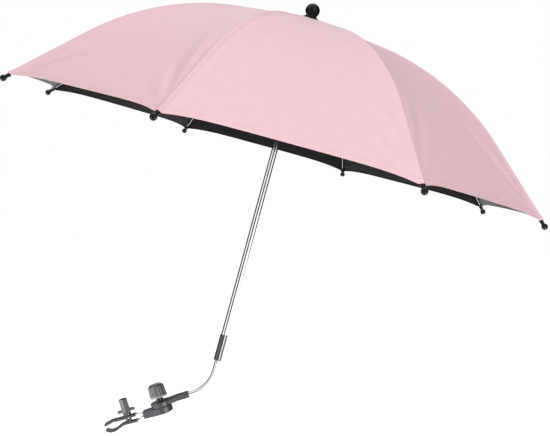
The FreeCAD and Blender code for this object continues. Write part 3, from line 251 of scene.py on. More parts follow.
class GoreShape:
    """The cloth from a rib to the middle of the gore beside it, in the rib's frame.

    A place on it is given by the rib's radius at the same height and by its share of the way across,
    from 0 on the rib to 1 in the middle of the gore. Side is 1 or -1 for the two gores of a rib.
    """

    def __init__(self, sizes, folds):
        self.sizes = sizes
        self.folds = folds
        crown, hem = sizes.crown_slope, sizes.hem_slope
        knee = Vector((sizes.knee_radius, (HUB_PIVOT_RADIUS - sizes.knee_radius) * math.tan(crown)))
        tangent = sizes.bend_radius * math.tan((hem - crown) / 2)
        start = knee + Vector((-math.cos(crown), math.sin(crown))) * tangent
        self.centre = start - Vector((math.sin(crown), math.cos(crown))) * sizes.bend_radius
        self.reach = sizes.bend_radius + sizes.cloth_rise
        step = sizes.hem_radius / CURVE_STEPS
        self.lengths = [0.0]
        for i in range(CURVE_STEPS):
            rise = self.height((i + 1) * step) - self.height(i * step)
            self.lengths.append(self.lengths[-1] + math.hypot(step * math.cos(HALF_GORE), rise))
        self.hem_grade = (self.lengths[-1] - self.lengths[-2]) / step

    def height(self, radius):
        """Height of the cloth over a rib, from the hub."""
        across = radius - self.centre.x
        crown, hem = self.sizes.crown_slope, self.sizes.hem_slope
        if across < self.reach * math.sin(crown):
            return self.centre.y + (self.reach - across * math.sin(crown)) / math.cos(crown)
        if across > self.reach * math.sin(hem):
            return self.centre.y + (self.reach - across * math.sin(hem)) / math.cos(hem)
        return self.centre.y + math.sqrt(self.reach ** 2 - across ** 2)

    def run(self, radius):
        """Length of cloth from the crown to a radius, down the middle of the gore."""
        place = radius / self.sizes.hem_radius * CURVE_STEPS
        low = min(int(place), CURVE_STEPS - 1)
        return self.lengths[low] + (self.lengths[low + 1] - self.lengths[low]) * (place - low)

    def normal(self, radius, side):
        step = MM
        fall = self.height(radius - step) - self.height(radius + step)
        slope = fall / (2 * step * math.cos(HALF_GORE))
        out = Vector((math.cos(HALF_GORE), side * math.sin(HALF_GORE), 0.0))
        return (out * slope + Vector((0.0, 0.0, 1.0))).normalized()

    def half_width(self, radius):
        return radius * math.sin(HALF_GORE)

    def edge(self, share):
        """Radius of the hem, flat in mid gore and drawn out to a blunt corner at the rib."""
        corner = self.sizes.corner_width / self.half_width(self.sizes.hem_radius)
        across = 1.0 - max(0.0, share - corner) / (1.0 - corner)
        drawn_out = sum(part * across ** power for power, part in HEM_BOW.items())
        return self.sizes.hem_radius - self.sizes.scallop * (1.0 - drawn_out)

    def hem_distance(self, radius, share):
        return (self.edge(share) - radius) * self.hem_grade

    def seam_reach(self, radius):
        """Width of the felled seam, which narrows where the gore runs out at the crown."""
        seam = self.sizes.seam_width
        return seam * min(1.0, self.half_width(radius) / (2 * seam))

    def lift(self, radius, share, side):
        """How far the cloth stands off the ruled surface: sag, ridge, hem, seam, folds and puckers."""
        sizes = self.sizes
        from_rib = share * self.half_width(radius)
        from_hem = self.hem_distance(radius, share)
        from_tip = self.run(sizes.hem_radius) - self.run(radius)
        along = radius / sizes.hem_radius
        sag = sizes.sag * smooth_step(*SAG_GROWS, along) * (1.0 - SAG_EASE * smooth_step(*SAG_EASES, along))
        height = -sag * (2.0 * share - share ** 2)
        height += self.rib_ridge(from_rib, from_tip, along)
        height += sizes.hem_rise * doubled(from_hem, sizes.hem_width)
        if side == SEAM_SIDE:
            height += sizes.seam_rise * doubled(from_rib, self.seam_reach(radius))
        height += self.corner_folds(from_rib, from_tip, share)
        height += self.puckers(from_rib, from_hem, self.run(radius), share)
        return height

    def rib_ridge(self, from_rib, from_tip, along):
        """The ridge over the rib: the cloth falls away beside it, most where the tip's cup lifts it."""
        sizes = self.sizes
        crest = math.exp(-(from_rib / sizes.ridge_width) ** 2)
        sharpness = BLUNT_RIDGE + (1.0 - BLUNT_RIDGE) * smooth_step(*RIDGE_SHARPENS, along)
        drop = sizes.corner_drop * smooth_step(*RIDGE_GROWS, along) * sharpness
        cup = sizes.cup_rise * (1.0 - smooth_step(*CUP_REACH, from_tip))
        return cup * crest - drop * (1.0 - crest)

    def corner_folds(self, from_rib, from_tip, share):
        """Tension folds that fan out from the corner where the cloth is sewn to the rib's tip."""
        distance = math.hypot(from_rib, from_tip)
        angle = math.atan2(from_rib, max(from_tip, LEAST_RUN))
        height = 0.0
        for direction, spread, reach, slope in self.folds:
            fade = 1.0 - smooth_step(FOLD_FADES_FROM * reach, reach, distance)
            fade *= smooth_step(*FOLD_STARTS, distance)
            height += slope * distance * fade * math.exp(-((angle - direction) / spread) ** 2)
        return height * smooth_step(*FOLD_LEAVES_RIB, from_rib) * (1.0 - smooth_step(*FOLD_ENDS, share))

    def puckers(self, from_rib, from_hem, run, share):
        """Small gathers that the sewing draws up beside the seam and above the hem."""
        seam = SEAM_PUCKER * gathers(run, **SEAM_WAVES) * plateau(from_rib, **SEAM_BAND)
        hem = HEM_PUCKER * gathers(from_rib, **HEM_WAVES) * plateau(from_hem, **HEM_BAND)
        return (seam + hem) * (1.0 - smooth_step(*PUCKER_ENDS, share)) * smooth_step(*PUCKER_STARTS, run)

    def point(self, radius, share, side):
        place = Vector((radius * (1.0 - share * math.sin(HALF_GORE) ** 2),
                        side * share * radius * math.sin(HALF_GORE) * math.cos(HALF_GORE),
                        self.height(radius)))
        return place + self.normal(radius, side) * self.lift(radius, share, side)

    def cut_length(self):
        """Length of the flat cut from the crown's hole to the hem."""
        return self.run(self.sizes.hem_radius) - self.run(self.sizes.crown_radius)

    def flat_area(self):
        """Area of the flat cut from the rib to mid gore."""
        sizes = self.sizes
        step = (sizes.hem_radius - sizes.crown_radius) / CURVE_STEPS
        area = 0.0
        for i in range(CURVE_STEPS):
            radius = sizes.crown_radius + (i + 0.5) * step
            run = self.run(radius + step / 2) - self.run(radius - step / 2)
            area += run * self.half_width(radius)
        return area


# Corner folds: how many, and what each is drawn from, in degrees, in millimetres and as a slope
CORNER_FOLDS = 4
FIRST_FOLD = 11
FOLD_STEP = 13
FOLD_STRAY = 3
FOLD_SPREAD = (3.2, 5.0)
FOLD_REACH = (110, 210)
FOLD_SHORTENS = 0.13
FOLD_SLOPE = (0.018, 0.032)
SEED_STEP = 10


def corner_fold_list(seed):
    """Direction from the rib, spread, reach and steepness of each fold at one corner."""
    draw = random.Random(seed)
    folds = []
    for i in range(CORNER_FOLDS):
        direction = math.radians(FIRST_FOLD + FOLD_STEP * i + draw.uniform(-FOLD_STRAY, FOLD_STRAY))
        spread = math.radians(draw.uniform(*FOLD_SPREAD))
        reach = draw.uniform(*FOLD_REACH) * MM * (1.0 - FOLD_SHORTENS * i)
        folds.append((direction, spread, reach, draw.uniform(*FOLD_SLOPE) * (1, -1)[i % 2]))
    return folds


def rib_shapes(sizes, number):
    """The half gores on the two sides of a rib, each with corner folds of its own."""
    return {side: GoreShape(sizes, corner_fold_list(SEED_STEP * number + side)) for side in SIDES}


# The cloth's mesh: columns by the seam and rows by the hem in millimetres, and even steps elsewhere
SEAM_COLUMNS = (0.0, 0.5, 2.2, 4.1, 4.6, 5.1, 6.2, 8.0)
HEM_ROWS = (10.2, 9.0, 8.5, 8.0, 7.4, 6.0, 3.5, 1.2, 0.4, 0.0)
GORE_COLUMNS = 22
GORE_ROWS = 84
MERGE_DISTANCE = 0.02 * MM
EDGE_ANGLE = math.radians(50)
PATTERN_MAP = "pattern"


def column_share(shape, radius, column):
    """Share of the way across of a column: fixed distances by the seam, then even steps."""
    half = shape.half_width(radius)
    squeeze = min(1.0, half / (2 * SEAM_COLUMNS[-1] * MM))
    if column < len(SEAM_COLUMNS):
        return SEAM_COLUMNS[column] * MM * squeeze / half
    first = SEAM_COLUMNS[-1] * MM * squeeze / half
    return first + (1.0 - first) * (column - len(SEAM_COLUMNS) + 1) / GORE_COLUMNS


def gore_grid(shape, side):
    """Rows of (point, pattern coordinates) from the crown to the hem, each from the rib to mid gore."""
    sizes = shape.sizes
    columns = len(SEAM_COLUMNS) + GORE_COLUMNS
    rows = []
    for row in range(GORE_ROWS + len(HEM_ROWS)):
        line = []
        for column in range(columns):
            edge = shape.edge(column_share(shape, sizes.hem_radius, column))
            if row < GORE_ROWS:
                hem_start = edge - HEM_ROWS[0] * MM / shape.hem_grade
                radius = sizes.crown_radius + (hem_start - sizes.crown_radius) * row / GORE_ROWS
            else:
                radius = edge - HEM_ROWS[row - GORE_ROWS] * MM / shape.hem_grade
            share = column_share(shape, radius, column)
            across = side * (shape.half_width(radius) * (share - 1.0))
            line.append((shape.point(radius, share, side), (across, shape.run(radius))))
        rows.append(line)
    return rows


def cloth_mesh(name, shapes, matrix):
    """Both half gores of a rib as one open mesh, joined along the rib, with a pattern map in metres."""
    mesh = bpy.data.meshes.new(name)
    work = bmesh.new()
    pattern = work.loops.layers.uv.new(PATTERN_MAP)
    for side, shape in shapes.items():
        grid = gore_grid(shape, side)
        made = [[work.verts.new(matrix @ point) for point, _ in line] for line in grid]
        for i in range(len(grid) - 1):
            for j in range(len(grid[0]) - 1):
                corners = [(i, j), (i + 1, j), (i + 1, j + 1), (i, j + 1)]
                if side < 0:
                    corners.reverse()
                face = work.faces.new([made[a][b] for a, b in corners])
                face.smooth = True
                for loop, (a, b) in zip(face.loops, corners):
                    loop[pattern].uv = grid[a][b][1]
    bmesh.ops.remove_doubles(work, verts=work.verts, dist=MERGE_DISTANCE)
    work.to_mesh(mesh)
    work.free()
    return mesh


def coated_cloth(mesh, thickness, finishes):
    """The cloth that one rib carries, with the thickness of its coating and a lining inside."""
    cloth = new_object(mesh.name, mesh)
    wall = cloth.modifiers.new("Coated cloth", "SOLIDIFY")
    wall.thickness = thickness
    wall.offset = -1.0
    wall.use_even_offset = True
    wall.material_offset = 1
    for finish in finishes:
        mesh.materials.append(finish)
    apply_modifiers(cloth)
    bpy.ops.object.shade_smooth_by_angle(angle=EDGE_ANGLE)
    return cloth


# Stitches: rows as shares of the seam's and the hem's width, and where they start and stop
SEAM_STITCH_ROWS = (0.82, 0.16)
SEAM_STITCH_START = 4 * MM
SEAM_STITCH_MARGIN = 6 * MM
HEM_STITCH_ROW = 0.84
HEM_STITCH_START = 0.015

# Sewing thread: its share of a stitch with its gap, its width to its height, and how far it stands out
THREAD_SHARE = 0.72
THREAD_FLATNESS = 1.3
THREAD_STANDS = 0.3


def stitch_ends(count):
    """Start and end of every stitch in a row by turns, as shares of the row."""
    return [(i // 2 + THREAD_SHARE * (i % 2)) / count for i in range(2 * count)]


def stitches_between(ends):
    """Middle, direction and normal of each stitch, from the (point, normal) of its two ends."""
    pairs = zip(ends[0::2], ends[1::2])
    return [((start + end) / 2, end - start, normal) for (start, normal), (end, _) in pairs]


def seam_stitches(shape, row):
    """One row of stitches down the felled seam."""
    sizes = shape.sizes
    first = sizes.crown_radius + SEAM_STITCH_START
    span = sizes.hem_radius - sizes.crown_radius - SEAM_STITCH_MARGIN
    ends = []
    for place in stitch_ends(int(shape.cut_length() / sizes.stitch_length)):
        radius = first + span * place
        share = row * shape.seam_reach(radius) / shape.half_width(radius)
        ends.append((shape.point(radius, share, SEAM_SIDE), shape.normal(radius, SEAM_SIDE)))
    return stitches_between(ends)


def hem_stitches(shape, side):
    """The row of stitches along the hem of a half gore."""
    sizes = shape.sizes
    ends = []
    for place in stitch_ends(int(shape.half_width(sizes.hem_radius) / sizes.stitch_length)):
        share = HEM_STITCH_START + (1.0 - HEM_STITCH_START) * place
        radius = shape.edge(share) - HEM_STITCH_ROW * sizes.hem_width / shape.hem_grade
        ends.append((shape.point(radius, share, side), shape.normal(radius, side)))
    return stitches_between(ends)


def stitch_places(shapes):
    """Every stitch on the seam and the hem of one rib's cloth."""
    places = []
    for row in SEAM_STITCH_ROWS:
        places += seam_stitches(shapes[SEAM_SIDE], row)
    for side, shape in shapes.items():
        places += hem_stitches(shape, side)
    return places


def stitch_form():
    """Corners and faces of one stitch: a short length of thread, rounded off at both ends."""
    bpy.ops.object.select_all(action="DESELECT")
    bpy.ops.mesh.primitive_uv_sphere_add(segments=6, ring_count=4, radius=1.0, rotation=(0, math.pi / 2, 0))
    bpy.ops.object.transform_apply()
    form = bpy.context.active_object
    corners = [corner.co.copy() for corner in form.data.vertices]
    faces = [tuple(face.vertices) for face in form.data.polygons]
    bpy.data.objects.remove(form)
    return corners, faces


def stitch_mesh(name, form, places, radius, matrix):
    """All the stitches of one rib's cloth, each dipping into the cloth at both ends."""
    corners, faces = form
    points = []
    rings = []
    for middle, along, normal in places:
        way = along.normalized()
        turn = Matrix((way, normal.cross(way).normalized(), normal)).transposed().to_4x4()
        size = Matrix.Diagonal((along.length / 2, THREAD_FLATNESS * radius, radius, 1.0))
        where = matrix @ Matrix.Translation(middle + normal * THREAD_STANDS * radius) @ turn @ size
        rings += [tuple(corner + len(points) for corner in face) for face in faces]
        points += [where @ corner for corner in corners]
    mesh = bpy.data.meshes.new(name)
    mesh.from_pydata(points, [], rings)
    mesh.shade_smooth()
    return mesh


def join_stitches(cloth, thread, finishes):
    """Joins the stitches to the cloth, in the last of its finishes."""
    stitches = new_object(thread.name, thread)
    for finish in finishes:
        thread.materials.append(finish)
    for face in thread.polygons:
        face.material_index = len(finishes) - 1
    only_selected(cloth)
    stitches.select_set(True)
    bpy.ops.object.join()


def declare_cloth(cloth, number, shape):
    """Works out its cut's area, width and length, which go unused, then hides the canopy piece that the
    cloth stands for and hangs the cloth, with a mesh of its own, on its rib's body.
    """
    sizes = shape.sizes
    area = 2 * shape.flat_area()
    width = 2 * shape.half_width(sizes.hem_radius)
    length = shape.cut_length()
    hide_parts(f"canopy_{number}")
    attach(cloth, f"rib_{number}")
    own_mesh(cloth)


class PARASOL_OT_canopy(bpy.types.Operator):
    """Sew the canopy: for each rib the cloth that it carries, with hem, felled seam and stitches"""

    bl_idname = "parasol.canopy"
    bl_label = "Sew the Canopy"

    def execute(self, context):
        sizes = context.scene.parasol_canopy
        finishes = (canopy_cloth(sizes), canopy_lining(sizes), sewing_thread(sizes))
        form = stitch_form()
        for number in RIBS:
            shapes = rib_shapes(sizes, number)
            matrix = rib_matrix(number)
            mesh = cloth_mesh(CLOTH_NAMES[number], shapes, matrix)
            cloth = coated_cloth(mesh, sizes.thickness, finishes)
            places = stitch_places(shapes)
            thread = stitch_mesh(f"stitches_{number}", form, places, sizes.thread_radius, matrix)
            join_stitches(cloth, thread, finishes)
            declare_cloth(cloth, number, shapes[SEAM_SIDE])
        return {"FINISHED"}


# Finishes: threads to a metre, a thread's height in a dip, the depth of relief, and a noise's range
CLOTH_THREADS = 2800.0
THREAD_DIP = 0.5
RELIEF = 0.1 * MM
NOISE_RANGE = {"From_Min": 0.3, "From_Max": 0.7}

# The thread's colour as a share of the cloth's
THREAD_SHADE = 0.88


def set_inputs(tree, node, **inputs):
    """Sets a node's inputs to values or links; an input is named, or _ and its place."""
    for name, value in inputs.items():
        socket = node.inputs[int(name[1:])] if name[0] == "_" else node.inputs[name.replace("_", " ")]
        if isinstance(value, bpy.types.NodeSocket):
            tree.links.new(value, socket)
        else:
            socket.default_value = value


def add_node(tree, kind, settings=None, **inputs):
    """A shader node with its settings and its input values or links."""
    node = tree.nodes.new(kind)
    for name, value in (settings or {}).items():
        setattr(node, name, value)
    set_inputs(tree, node, **inputs)
    return node


def maths(tree, operation, *values):
    """The result of a maths node on one, two or three values."""
    inputs = {f"_{place}": value for place, value in enumerate(values)}
    return add_node(tree, "ShaderNodeMath", {"operation": operation}, **inputs).outputs[0]


def new_group(name, inputs, outputs):
    """An empty node group with named sockets, and its input and output nodes."""
    group = bpy.data.node_groups.new(name, "ShaderNodeTree")
    for socket, kind, value in inputs:
        made = group.interface.new_socket(socket, in_out="INPUT", socket_type=kind)
        if value is not None:
            made.default_value = value
    for socket, kind in outputs:
        group.interface.new_socket(socket, in_out="OUTPUT", socket_type=kind)
    return group, group.nodes.new("NodeGroupInput"), group.nodes.new("NodeGroupOutput")


def weave_group():
    """Plain weave over a map in metres: the threads' height and a slight unevenness of shade."""
    name = "Plain weave"
    if name in bpy.data.node_groups:
        return bpy.data.node_groups[name]
    group, given, result = new_group(
        name,
        [("Vector", "NodeSocketVector", None), ("Threads per Metre", "NodeSocketFloat", CLOTH_THREADS)],
        [("Height", "NodeSocketFloat"), ("Shade", "NodeSocketFloat")])
    scaled = add_node(group, "ShaderNodeVectorMath", {"operation": "SCALE"}, Vector=given.outputs["Vector"],
                      Scale=given.outputs["Threads per Metre"]).outputs[0]
    parts = add_node(group, "ShaderNodeSeparateXYZ", Vector=scaled)
    ridges = []
    cells = []
    for axis in (0, 1):
        turn = maths(group, "MULTIPLY", parts.outputs[axis], math.pi)
        ridges.append(maths(group, "ABSOLUTE", maths(group, "SINE", turn)))
        cells.append(maths(group, "FLOOR", parts.outputs[axis]))
    over = maths(group, "MODULO", maths(group, "ADD", *cells), 2.0)
    over = maths(group, "ABSOLUTE", over)
    crossed = []
    for top, under in (ridges, ridges[::-1]):
        dip = maths(group, "MULTIPLY_ADD", under, 1.0 - THREAD_DIP, THREAD_DIP)
        crossed.append(maths(group, "MULTIPLY", top, dip))
    height = add_node(group, "ShaderNodeMix", {"data_type": "FLOAT"}, _0=over, _2=crossed[0], _3=crossed[1])
    slubs = add_node(group, "ShaderNodeTexNoise", {"noise_dimensions": "2D"},
                     Vector=given.outputs["Vector"], Scale=55.0, Detail=4.0, Roughness=0.6)
    set_inputs(group, result, Height=height.outputs[0], Shade=slubs.outputs[0])
    return group


def moulding_group():
    """Moulded or plated surface: rounded edges, fine grain and uneven handling marks."""
    name = "Moulded surface"
    if name in bpy.data.node_groups:
        return bpy.data.node_groups[name]
    group, given, result = new_group(
        name,
        [("Vector", "NodeSocketVector", None), ("Edge Radius", "NodeSocketFloat", 0.4 * MM),
         ("Grain Scale", "NodeSocketFloat", 2500.0), ("Grain Depth", "NodeSocketFloat", 0.1),
         ("Low Roughness", "NodeSocketFloat", 0.25), ("High Roughness", "NodeSocketFloat", 0.4)],
        [("Normal", "NodeSocketVector"), ("Roughness", "NodeSocketFloat"), ("Marks", "NodeSocketFloat")])
    edges = add_node(group, "ShaderNodeBevel", {"samples": 6}, Radius=given.outputs["Edge Radius"])
    grain = add_node(group, "ShaderNodeTexNoise", Vector=given.outputs["Vector"],
                     Scale=given.outputs["Grain Scale"], Detail=3.0)
    bump = add_node(group, "ShaderNodeBump", Strength=given.outputs["Grain Depth"], Distance=RELIEF,
                    Height=grain.outputs[0], Normal=edges.outputs[0])
    marks = add_node(group, "ShaderNodeTexNoise", Vector=given.outputs["Vector"], Scale=90.0, Detail=6.0,
                     Roughness=0.65)
    rough = add_node(group, "ShaderNodeMapRange", Value=marks.outputs[0], **NOISE_RANGE,
                     To_Min=given.outputs["Low Roughness"], To_Max=given.outputs["High Roughness"])
    set_inputs(group, result, Normal=bump.outputs[0], Roughness=rough.outputs[0], Marks=marks.outputs[0])
    return group


def new_finish(name):
    """A new material with its tree and shader."""
    finish = bpy.data.materials.new(name)
    finish.use_nodes = True
    return finish, finish.node_tree, finish.node_tree.nodes["Principled BSDF"]


def shaded(tree, colour, mask, spread):
    """The colour, varied around itself by a mask from 0 to 1."""
    low = [channel * (1.0 - spread) for channel in colour] + [1.0]
    high = [min(1.0, channel * (1.0 + spread)) for channel in colour] + [1.0]
    mix = add_node(tree, "ShaderNodeMix", {"data_type": "RGBA"}, _0=mask, _6=low, _7=high)
    return mix.outputs[2]


def woven_finish(name, colour, spread, depth):
    """A finish that follows the weave, with its tree and shader and the weave's shade."""
    finish, tree, shader = new_finish(name)
    pattern = add_node(tree, "ShaderNodeUVMap", {"uv_map": PATTERN_MAP})
    weave = add_node(tree, "ShaderNodeGroup", {"node_tree": weave_group()}, Vector=pattern.outputs[0],
                     Threads_per_Metre=CLOTH_THREADS)
    shade = weave.outputs["Shade"]
    bump = add_node(tree, "ShaderNodeBump", Strength=depth, Distance=RELIEF, Height=weave.outputs["Height"])
    set_inputs(tree, shader, Base_Color=shaded(tree, colour, shade, spread), Normal=bump.outputs[0])
    return finish, tree, shader, shade


def canopy_cloth(sizes):
    """Pink plain-weave cloth with a soft sheen."""
    finish, tree, shader, _ = woven_finish("canopy_cloth", sizes.cloth_colour, spread=0.035, depth=0.25)
    set_inputs(tree, shader, Roughness=0.55, Specular_IOR_Level=0.5, Sheen_Weight=0.2, Sheen_Roughness=0.3)
    return finish


def canopy_lining(sizes):
    """Black coating on the inside of the cloth, through which the weave still shows."""
    finish, tree, shader, shade = woven_finish("canopy_lining", sizes.lining_colour, spread=0.25, depth=0.2)
    rough = add_node(tree, "ShaderNodeMapRange", Value=shade, **NOISE_RANGE, To_Min=0.3, To_Max=0.4)
    set_inputs(tree, shader, Roughness=rough.outputs[0], Specular_IOR_Level=0.1)
    return finish


def sewing_thread(sizes):
    """Pink thread, a little darker than the cloth."""
    finish, tree, shader = new_finish("sewing_thread")
    place = add_node(tree, "ShaderNodeTexCoord")
    twist = add_node(tree, "ShaderNodeTexNoise", Vector=place.outputs["Object"], Scale=2500.0, Detail=2.0)
    colour = [channel * THREAD_SHADE for channel in sizes.cloth_colour]
    set_inputs(tree, shader, Base_Color=shaded(tree, colour, twist.outputs[0], spread=0.12), Roughness=0.55)
    return finish


def moulded_finish(name, colour, edge=0.4, grain=0.1, rough=(0.28, 0.42), spread=0.12, specular=0.5):
    """Moulded plastic with edges rounded by some millimetres, a faint grain and handling marks."""
    finish, tree, shader = new_finish(name)
    place = add_node(tree, "ShaderNodeTexCoord")
    surface = add_node(tree, "ShaderNodeGroup", {"node_tree": moulding_group()},
                       Vector=place.outputs["Object"], Edge_Radius=edge * MM, Grain_Depth=grain,
                       Low_Roughness=rough[0], High_Roughness=rough[1])
    set_inputs(tree, shader, Base_Color=shaded(tree, colour, surface.outputs["Marks"], spread),
               Roughness=surface.outputs["Roughness"], Normal=surface.outputs["Normal"],
               Specular_IOR_Level=specular)
    return finish


def plated_finish(name, colour, rough):
    """Bright plate over steel, with a faint unevenness."""
    finish = moulded_finish(name, colour, edge=0.3, grain=0.03, rough=rough, spread=0.03)
    finish.node_tree.nodes["Principled BSDF"].inputs["Metallic"].default_value = 1.0
    return finish


def give_finish(finish, *nodes):
    for name in nodes:
        slots = frame["nodes"][name].data.materials
        slots.clear()
        slots.append(finish)


class PARASOL_OT_frame_finishes(bpy.types.Operator):
    """Give the ribs, stretchers, tips, hub, runner, pole and rod their finishes"""

    bl_idname = "parasol.frame_finishes"
    bl_label = "Finish the Folding Frame"

    def execute(self, context):
        colours = context.scene.parasol_finish
        steel = plated_finish("plated_steel", colours.steel_colour, rough=(0.26, 0.4))
        chrome = plated_finish("chrome_plate", colours.chrome_colour, rough=(0.05, 0.12))
        black = moulded_finish("black_plastic", colours.black_colour, rough=(0.16, 0.26), specular=0.2)
        sleeve = moulded_finish("sleeve_plastic", colours.grey_colour, rough=(0.14, 0.22), specular=1.0)
        for number in RIBS:
            give_finish(steel, f"rib_{number}", f"stretcher_{number}")
            give_finish(black, f"rib_tip_{number}")
        give_finish(steel, "notch_wire", "runner_wire", "catch_spring")
        give_finish(chrome, "pole", "bent_rod")
        give_finish(black, "top_notch", "runner", "finial")
        give_finish(sleeve, "pole_sleeve")
        return {"FINISHED"}


class PARASOL_OT_clamp_finishes(bpy.types.Operator):
    """Give the swivel, its knob, the jaws, strips and screws their finishes"""

    bl_idname = "parasol.clamp_finishes"
    bl_label = "Finish the Clamp"

    def execute(self, context):
        colours = context.scene.parasol_finish
        chrome = bpy.data.materials["chrome_plate"]
        black = bpy.data.materials["black_plastic"]
        grey = moulded_finish("grey_plastic", colours.grey_colour, grain=0.25, rough=(0.3, 0.46))
        # Painted light: the knobs get the grey plastic painted lighter, for the light on their up- and
        # front-facing faces
        knob = moulded_finish("knob_plastic", colours.knob_colour_painted_lighter, grain=0.15, rough=(0.2, 0.3),
                              specular=0.8)
        satin = plated_finish("satin_plate", colours.chrome_colour, rough=(0.28, 0.4))
        # Light grey ring plastic, painted lighter still to stand in for the highlight along its rim
        ring = moulded_finish("ring_plastic", colours.ring_colour_painted_highlight, rough=(0.2, 0.3))
        give_finish(grey, "clamp_arm", "lower_jaw", "upper_jaw", "socket_arm", "jaw_collar")
        give_finish(knob, "swivel_knob", "wing_knob")
        give_finish(ring, "knob_ring")
        give_finish(black, "screw_bush", "swivel_collar")
        give_finish(satin, "lower_jaw_strip", "upper_jaw_strip")
        give_finish(chrome, "clamp_screw", "swivel_bolt", "swivel_nut")
        give_finish(chrome, "lower_jaw_rivet", "upper_jaw_rivet")
        return {"FINISHED"}


# Stage, in metres apart from the camera's sensor, which is in millimetres
SENSOR_WIDTH = 36.0
FLOOR_SIZE = 12.0
FLOOR_COLOUR = (0.86, 0.86, 0.86, 1.0)
FLOOR_GLOW = 0.6
WHITE = (1.0, 1.0, 1.0, 1.0)
BLACK = (0.0, 0.0, 0.0, 1.0)

# Lamps: the place of each, what it points at and its size, and the pieces that it is kept off
AIM_BELOW_HUB = 0.1
CANOPY_MIDDLE = HUB_CENTRE - POLE_UP * AIM_BELOW_HUB
LAMPS = {
    "key": ((0.5, -2.0, 1.0), CANOPY_MIDDLE, 1.4),
    "top": ((0.3, 0.3, 2.4), CANOPY_MIDDLE, 1.6),
    "low": ((-0.9, -0.4, 0.0), (0.0, 0.0, 0.0), 0.5),
    "side": ((0.71, -0.51, -0.1), (0.1, 0.0, 0.17), 0.36),
}
SPARED = {
    "low": ("pole", "bent_rod", "pole_sleeve", *CLOTH_NAMES.values()),
    "side": ("pole", "bent_rod", "wing_knob"),
}

# Dark flags: distance from the pole, height, height of the middle, and the degrees that each spans
FLAG_DISTANCE = 1.5
FLAG_HEIGHT = 3.0
FLAG_MIDDLE = 0.3
FLAGS = {"left_flag": (76, 164), "right_flag": (-164, -76), "front_flag": (-20, 20)}


def area_lamp(name, place, target, size, power):
    lamp = bpy.data.lights.new(name, "AREA")
    lamp.shape = "SQUARE"
    lamp.size = size
    lamp.energy = power
    holder = new_object(name, lamp)
    holder.location = place
    holder.rotation_euler = (Vector(target) - Vector(place)).to_track_quat("-Z", "Y").to_euler()
    return holder


def spare(lamp, names):
    """Keeps a lamp off some pieces, as a screen before the lamp would."""
    spared = bpy.data.collections.new(f"{lamp.name}_spared")
    for name in names:
        spared.objects.link(frame["nodes"].get(name) or bpy.data.objects[name])
    for member in spared.collection_objects:
        member.light_linking.link_state = "EXCLUDE"
    lamp.light_linking.receiver_collection = spared


def seen_rays(tree):
    """One for rays from the camera and for mirrored and refracted ones."""
    path = add_node(tree, "ShaderNodeLightPath")
    seen = maths(tree, "MAXIMUM", path.outputs["Is Camera Ray"], path.outputs["Is Glossy Ray"])
    return maths(tree, "MAXIMUM", seen, path.outputs["Is Transmission Ray"])


def studio_world(ambient):
    """Even light from all round, with a white backdrop behind the parasol."""
    world = bpy.data.worlds.new("studio")
    world.use_nodes = True
    tree = world.node_tree
    tree.nodes.clear()
    even = add_node(tree, "ShaderNodeBackground", Color=WHITE, Strength=ambient)
    white = add_node(tree, "ShaderNodeBackground", Color=WHITE, Strength=1.0)
    mixed = add_node(tree, "ShaderNodeMixShader", _0=seen_rays(tree), _1=even.outputs[0],
                     _2=white.outputs[0])
    add_node(tree, "ShaderNodeOutputWorld", Surface=mixed.outputs[0])
    bpy.context.scene.world = world


def floor_finish():
    """Pale floor that keeps the parasol's shadow and is otherwise as white as the backdrop."""
    finish, tree, _ = new_finish("studio_floor")
    tree.nodes.clear()
    pale = add_node(tree, "ShaderNodeBsdfDiffuse", Color=FLOOR_COLOUR)
    glow = add_node(tree, "ShaderNodeEmission", Color=WHITE,
                    Strength=maths(tree, "MULTIPLY", seen_rays(tree), FLOOR_GLOW))
    both = add_node(tree, "ShaderNodeAddShader", _0=pale.outputs[0], _1=glow.outputs[0])
    add_node(tree, "ShaderNodeOutputMaterial", Surface=both.outputs[0])
    return finish


def dark_flag_finish():
    """Black with no gloss of its own."""
    finish, tree, shader = new_finish("dark_flag")
    set_inputs(tree, shader, Base_Color=BLACK, Specular_IOR_Level=0.0)
    return finish


def dark_flag(name, angles, finish):
    """Upright black panel that only polished surfaces mirror, to draw dark lines down the chrome.

    Its two edges are seen from the pole at the given angles, from the camera's side round to the left.
    """
    turn = math.radians(sum(angles) / 2)
    width = 2 * FLAG_DISTANCE * math.tan(math.radians(angles[1] - angles[0]) / 2)
    across = HUB_CENTRE.x / 2 - FLAG_DISTANCE * math.sin(turn)
    place = (across, -FLAG_DISTANCE * math.cos(turn), FLAG_MIDDLE)
    bpy.ops.mesh.primitive_plane_add(size=1.0, location=place, rotation=(math.pi / 2, 0.0, -turn))
    flag = bpy.context.active_object
    flag.name = name
    flag.scale = (width, FLAG_HEIGHT, 1.0)
    flag.data.materials.append(finish)
    flag.visible_camera = False
    flag.visible_diffuse = False
    flag.visible_shadow = False
    flag.visible_transmission = False


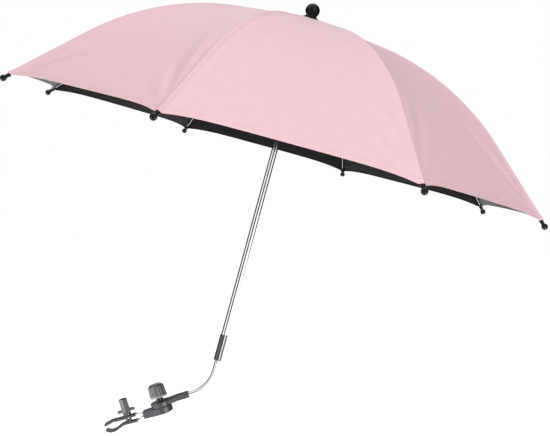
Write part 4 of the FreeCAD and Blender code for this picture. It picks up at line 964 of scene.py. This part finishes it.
class PARASOL_OT_stage(bpy.types.Operator):
    """Set up the camera, the pale floor, the soft lamps and the dark flags"""

    bl_idname = "parasol.stage"
    bl_label = "Set the Stage"

    def execute(self, context):
        settings = context.scene.parasol_stage
        context.scene.view_settings.view_transform = "Standard"
        camera = new_object("camera", bpy.data.cameras.new("camera"))
        camera.location = (settings.camera_side, -settings.camera_back, settings.camera_height)
        camera.rotation_euler = (math.pi / 2 - settings.camera_tilt, 0.0, 0.0)
        camera.data.sensor_width = SENSOR_WIDTH
        camera.data.lens = settings.lens
        context.scene.camera = camera
        studio_world(settings.ambient)
        floor_height = CAD_BOX[0].z - settings.floor_drop
        bpy.ops.mesh.primitive_plane_add(size=FLOOR_SIZE, location=(0, 0, floor_height))
        floor = context.active_object
        floor.name = "floor"
        floor.data.materials.append(floor_finish())
        lamps = {}
        for name, (place, target, size) in LAMPS.items():
            power = getattr(settings, f"{name}_power")
            lamps[name] = area_lamp(f"{name}_lamp", place, target, size, power)
        lamps["side"].visible_diffuse = False
        for name, pieces in SPARED.items():
            spare(lamps[name], pieces)
        flag_finish = dark_flag_finish()
        for name, angles in FLAGS.items():
            dark_flag(name, angles, flag_finish)
        return {"FINISHED"}


class PARASOL_PT_panel(bpy.types.Panel):
    """Buttons for every step of the parasol"""

    bl_idname = "PARASOL_PT_panel"
    bl_label = "Pram Parasol"
    bl_space_type = "VIEW_3D"
    bl_region_type = "UI"
    bl_category = "Parasol"

    def draw(self, context):
        for operator in OPERATORS:
            self.layout.operator(operator.bl_idname)


OPERATORS = (PARASOL_OT_canopy, PARASOL_OT_frame_finishes, PARASOL_OT_clamp_finishes, PARASOL_OT_stage)
SETTINGS = {"parasol_canopy": ParasolCanopySettings, "parasol_finish": ParasolFinishSettings,
            "parasol_stage": ParasolStageSettings}
CLASSES = (*SETTINGS.values(), *OPERATORS, PARASOL_PT_panel)


def register():
    for made in CLASSES:
        bpy.utils.register_class(made)
    for name, group in SETTINGS.items():
        setattr(bpy.types.Scene, name, PointerProperty(type=group))


def unregister():
    for name in SETTINGS:
        delattr(bpy.types.Scene, name)
    for made in reversed(CLASSES):
        bpy.utils.unregister_class(made)


def main():
    register()
    bpy.ops.parasol.canopy()
    bpy.ops.parasol.frame_finishes()
    bpy.ops.parasol.clamp_finishes()
    bpy.ops.parasol.stage()


if __name__ == "__main__":
    main()
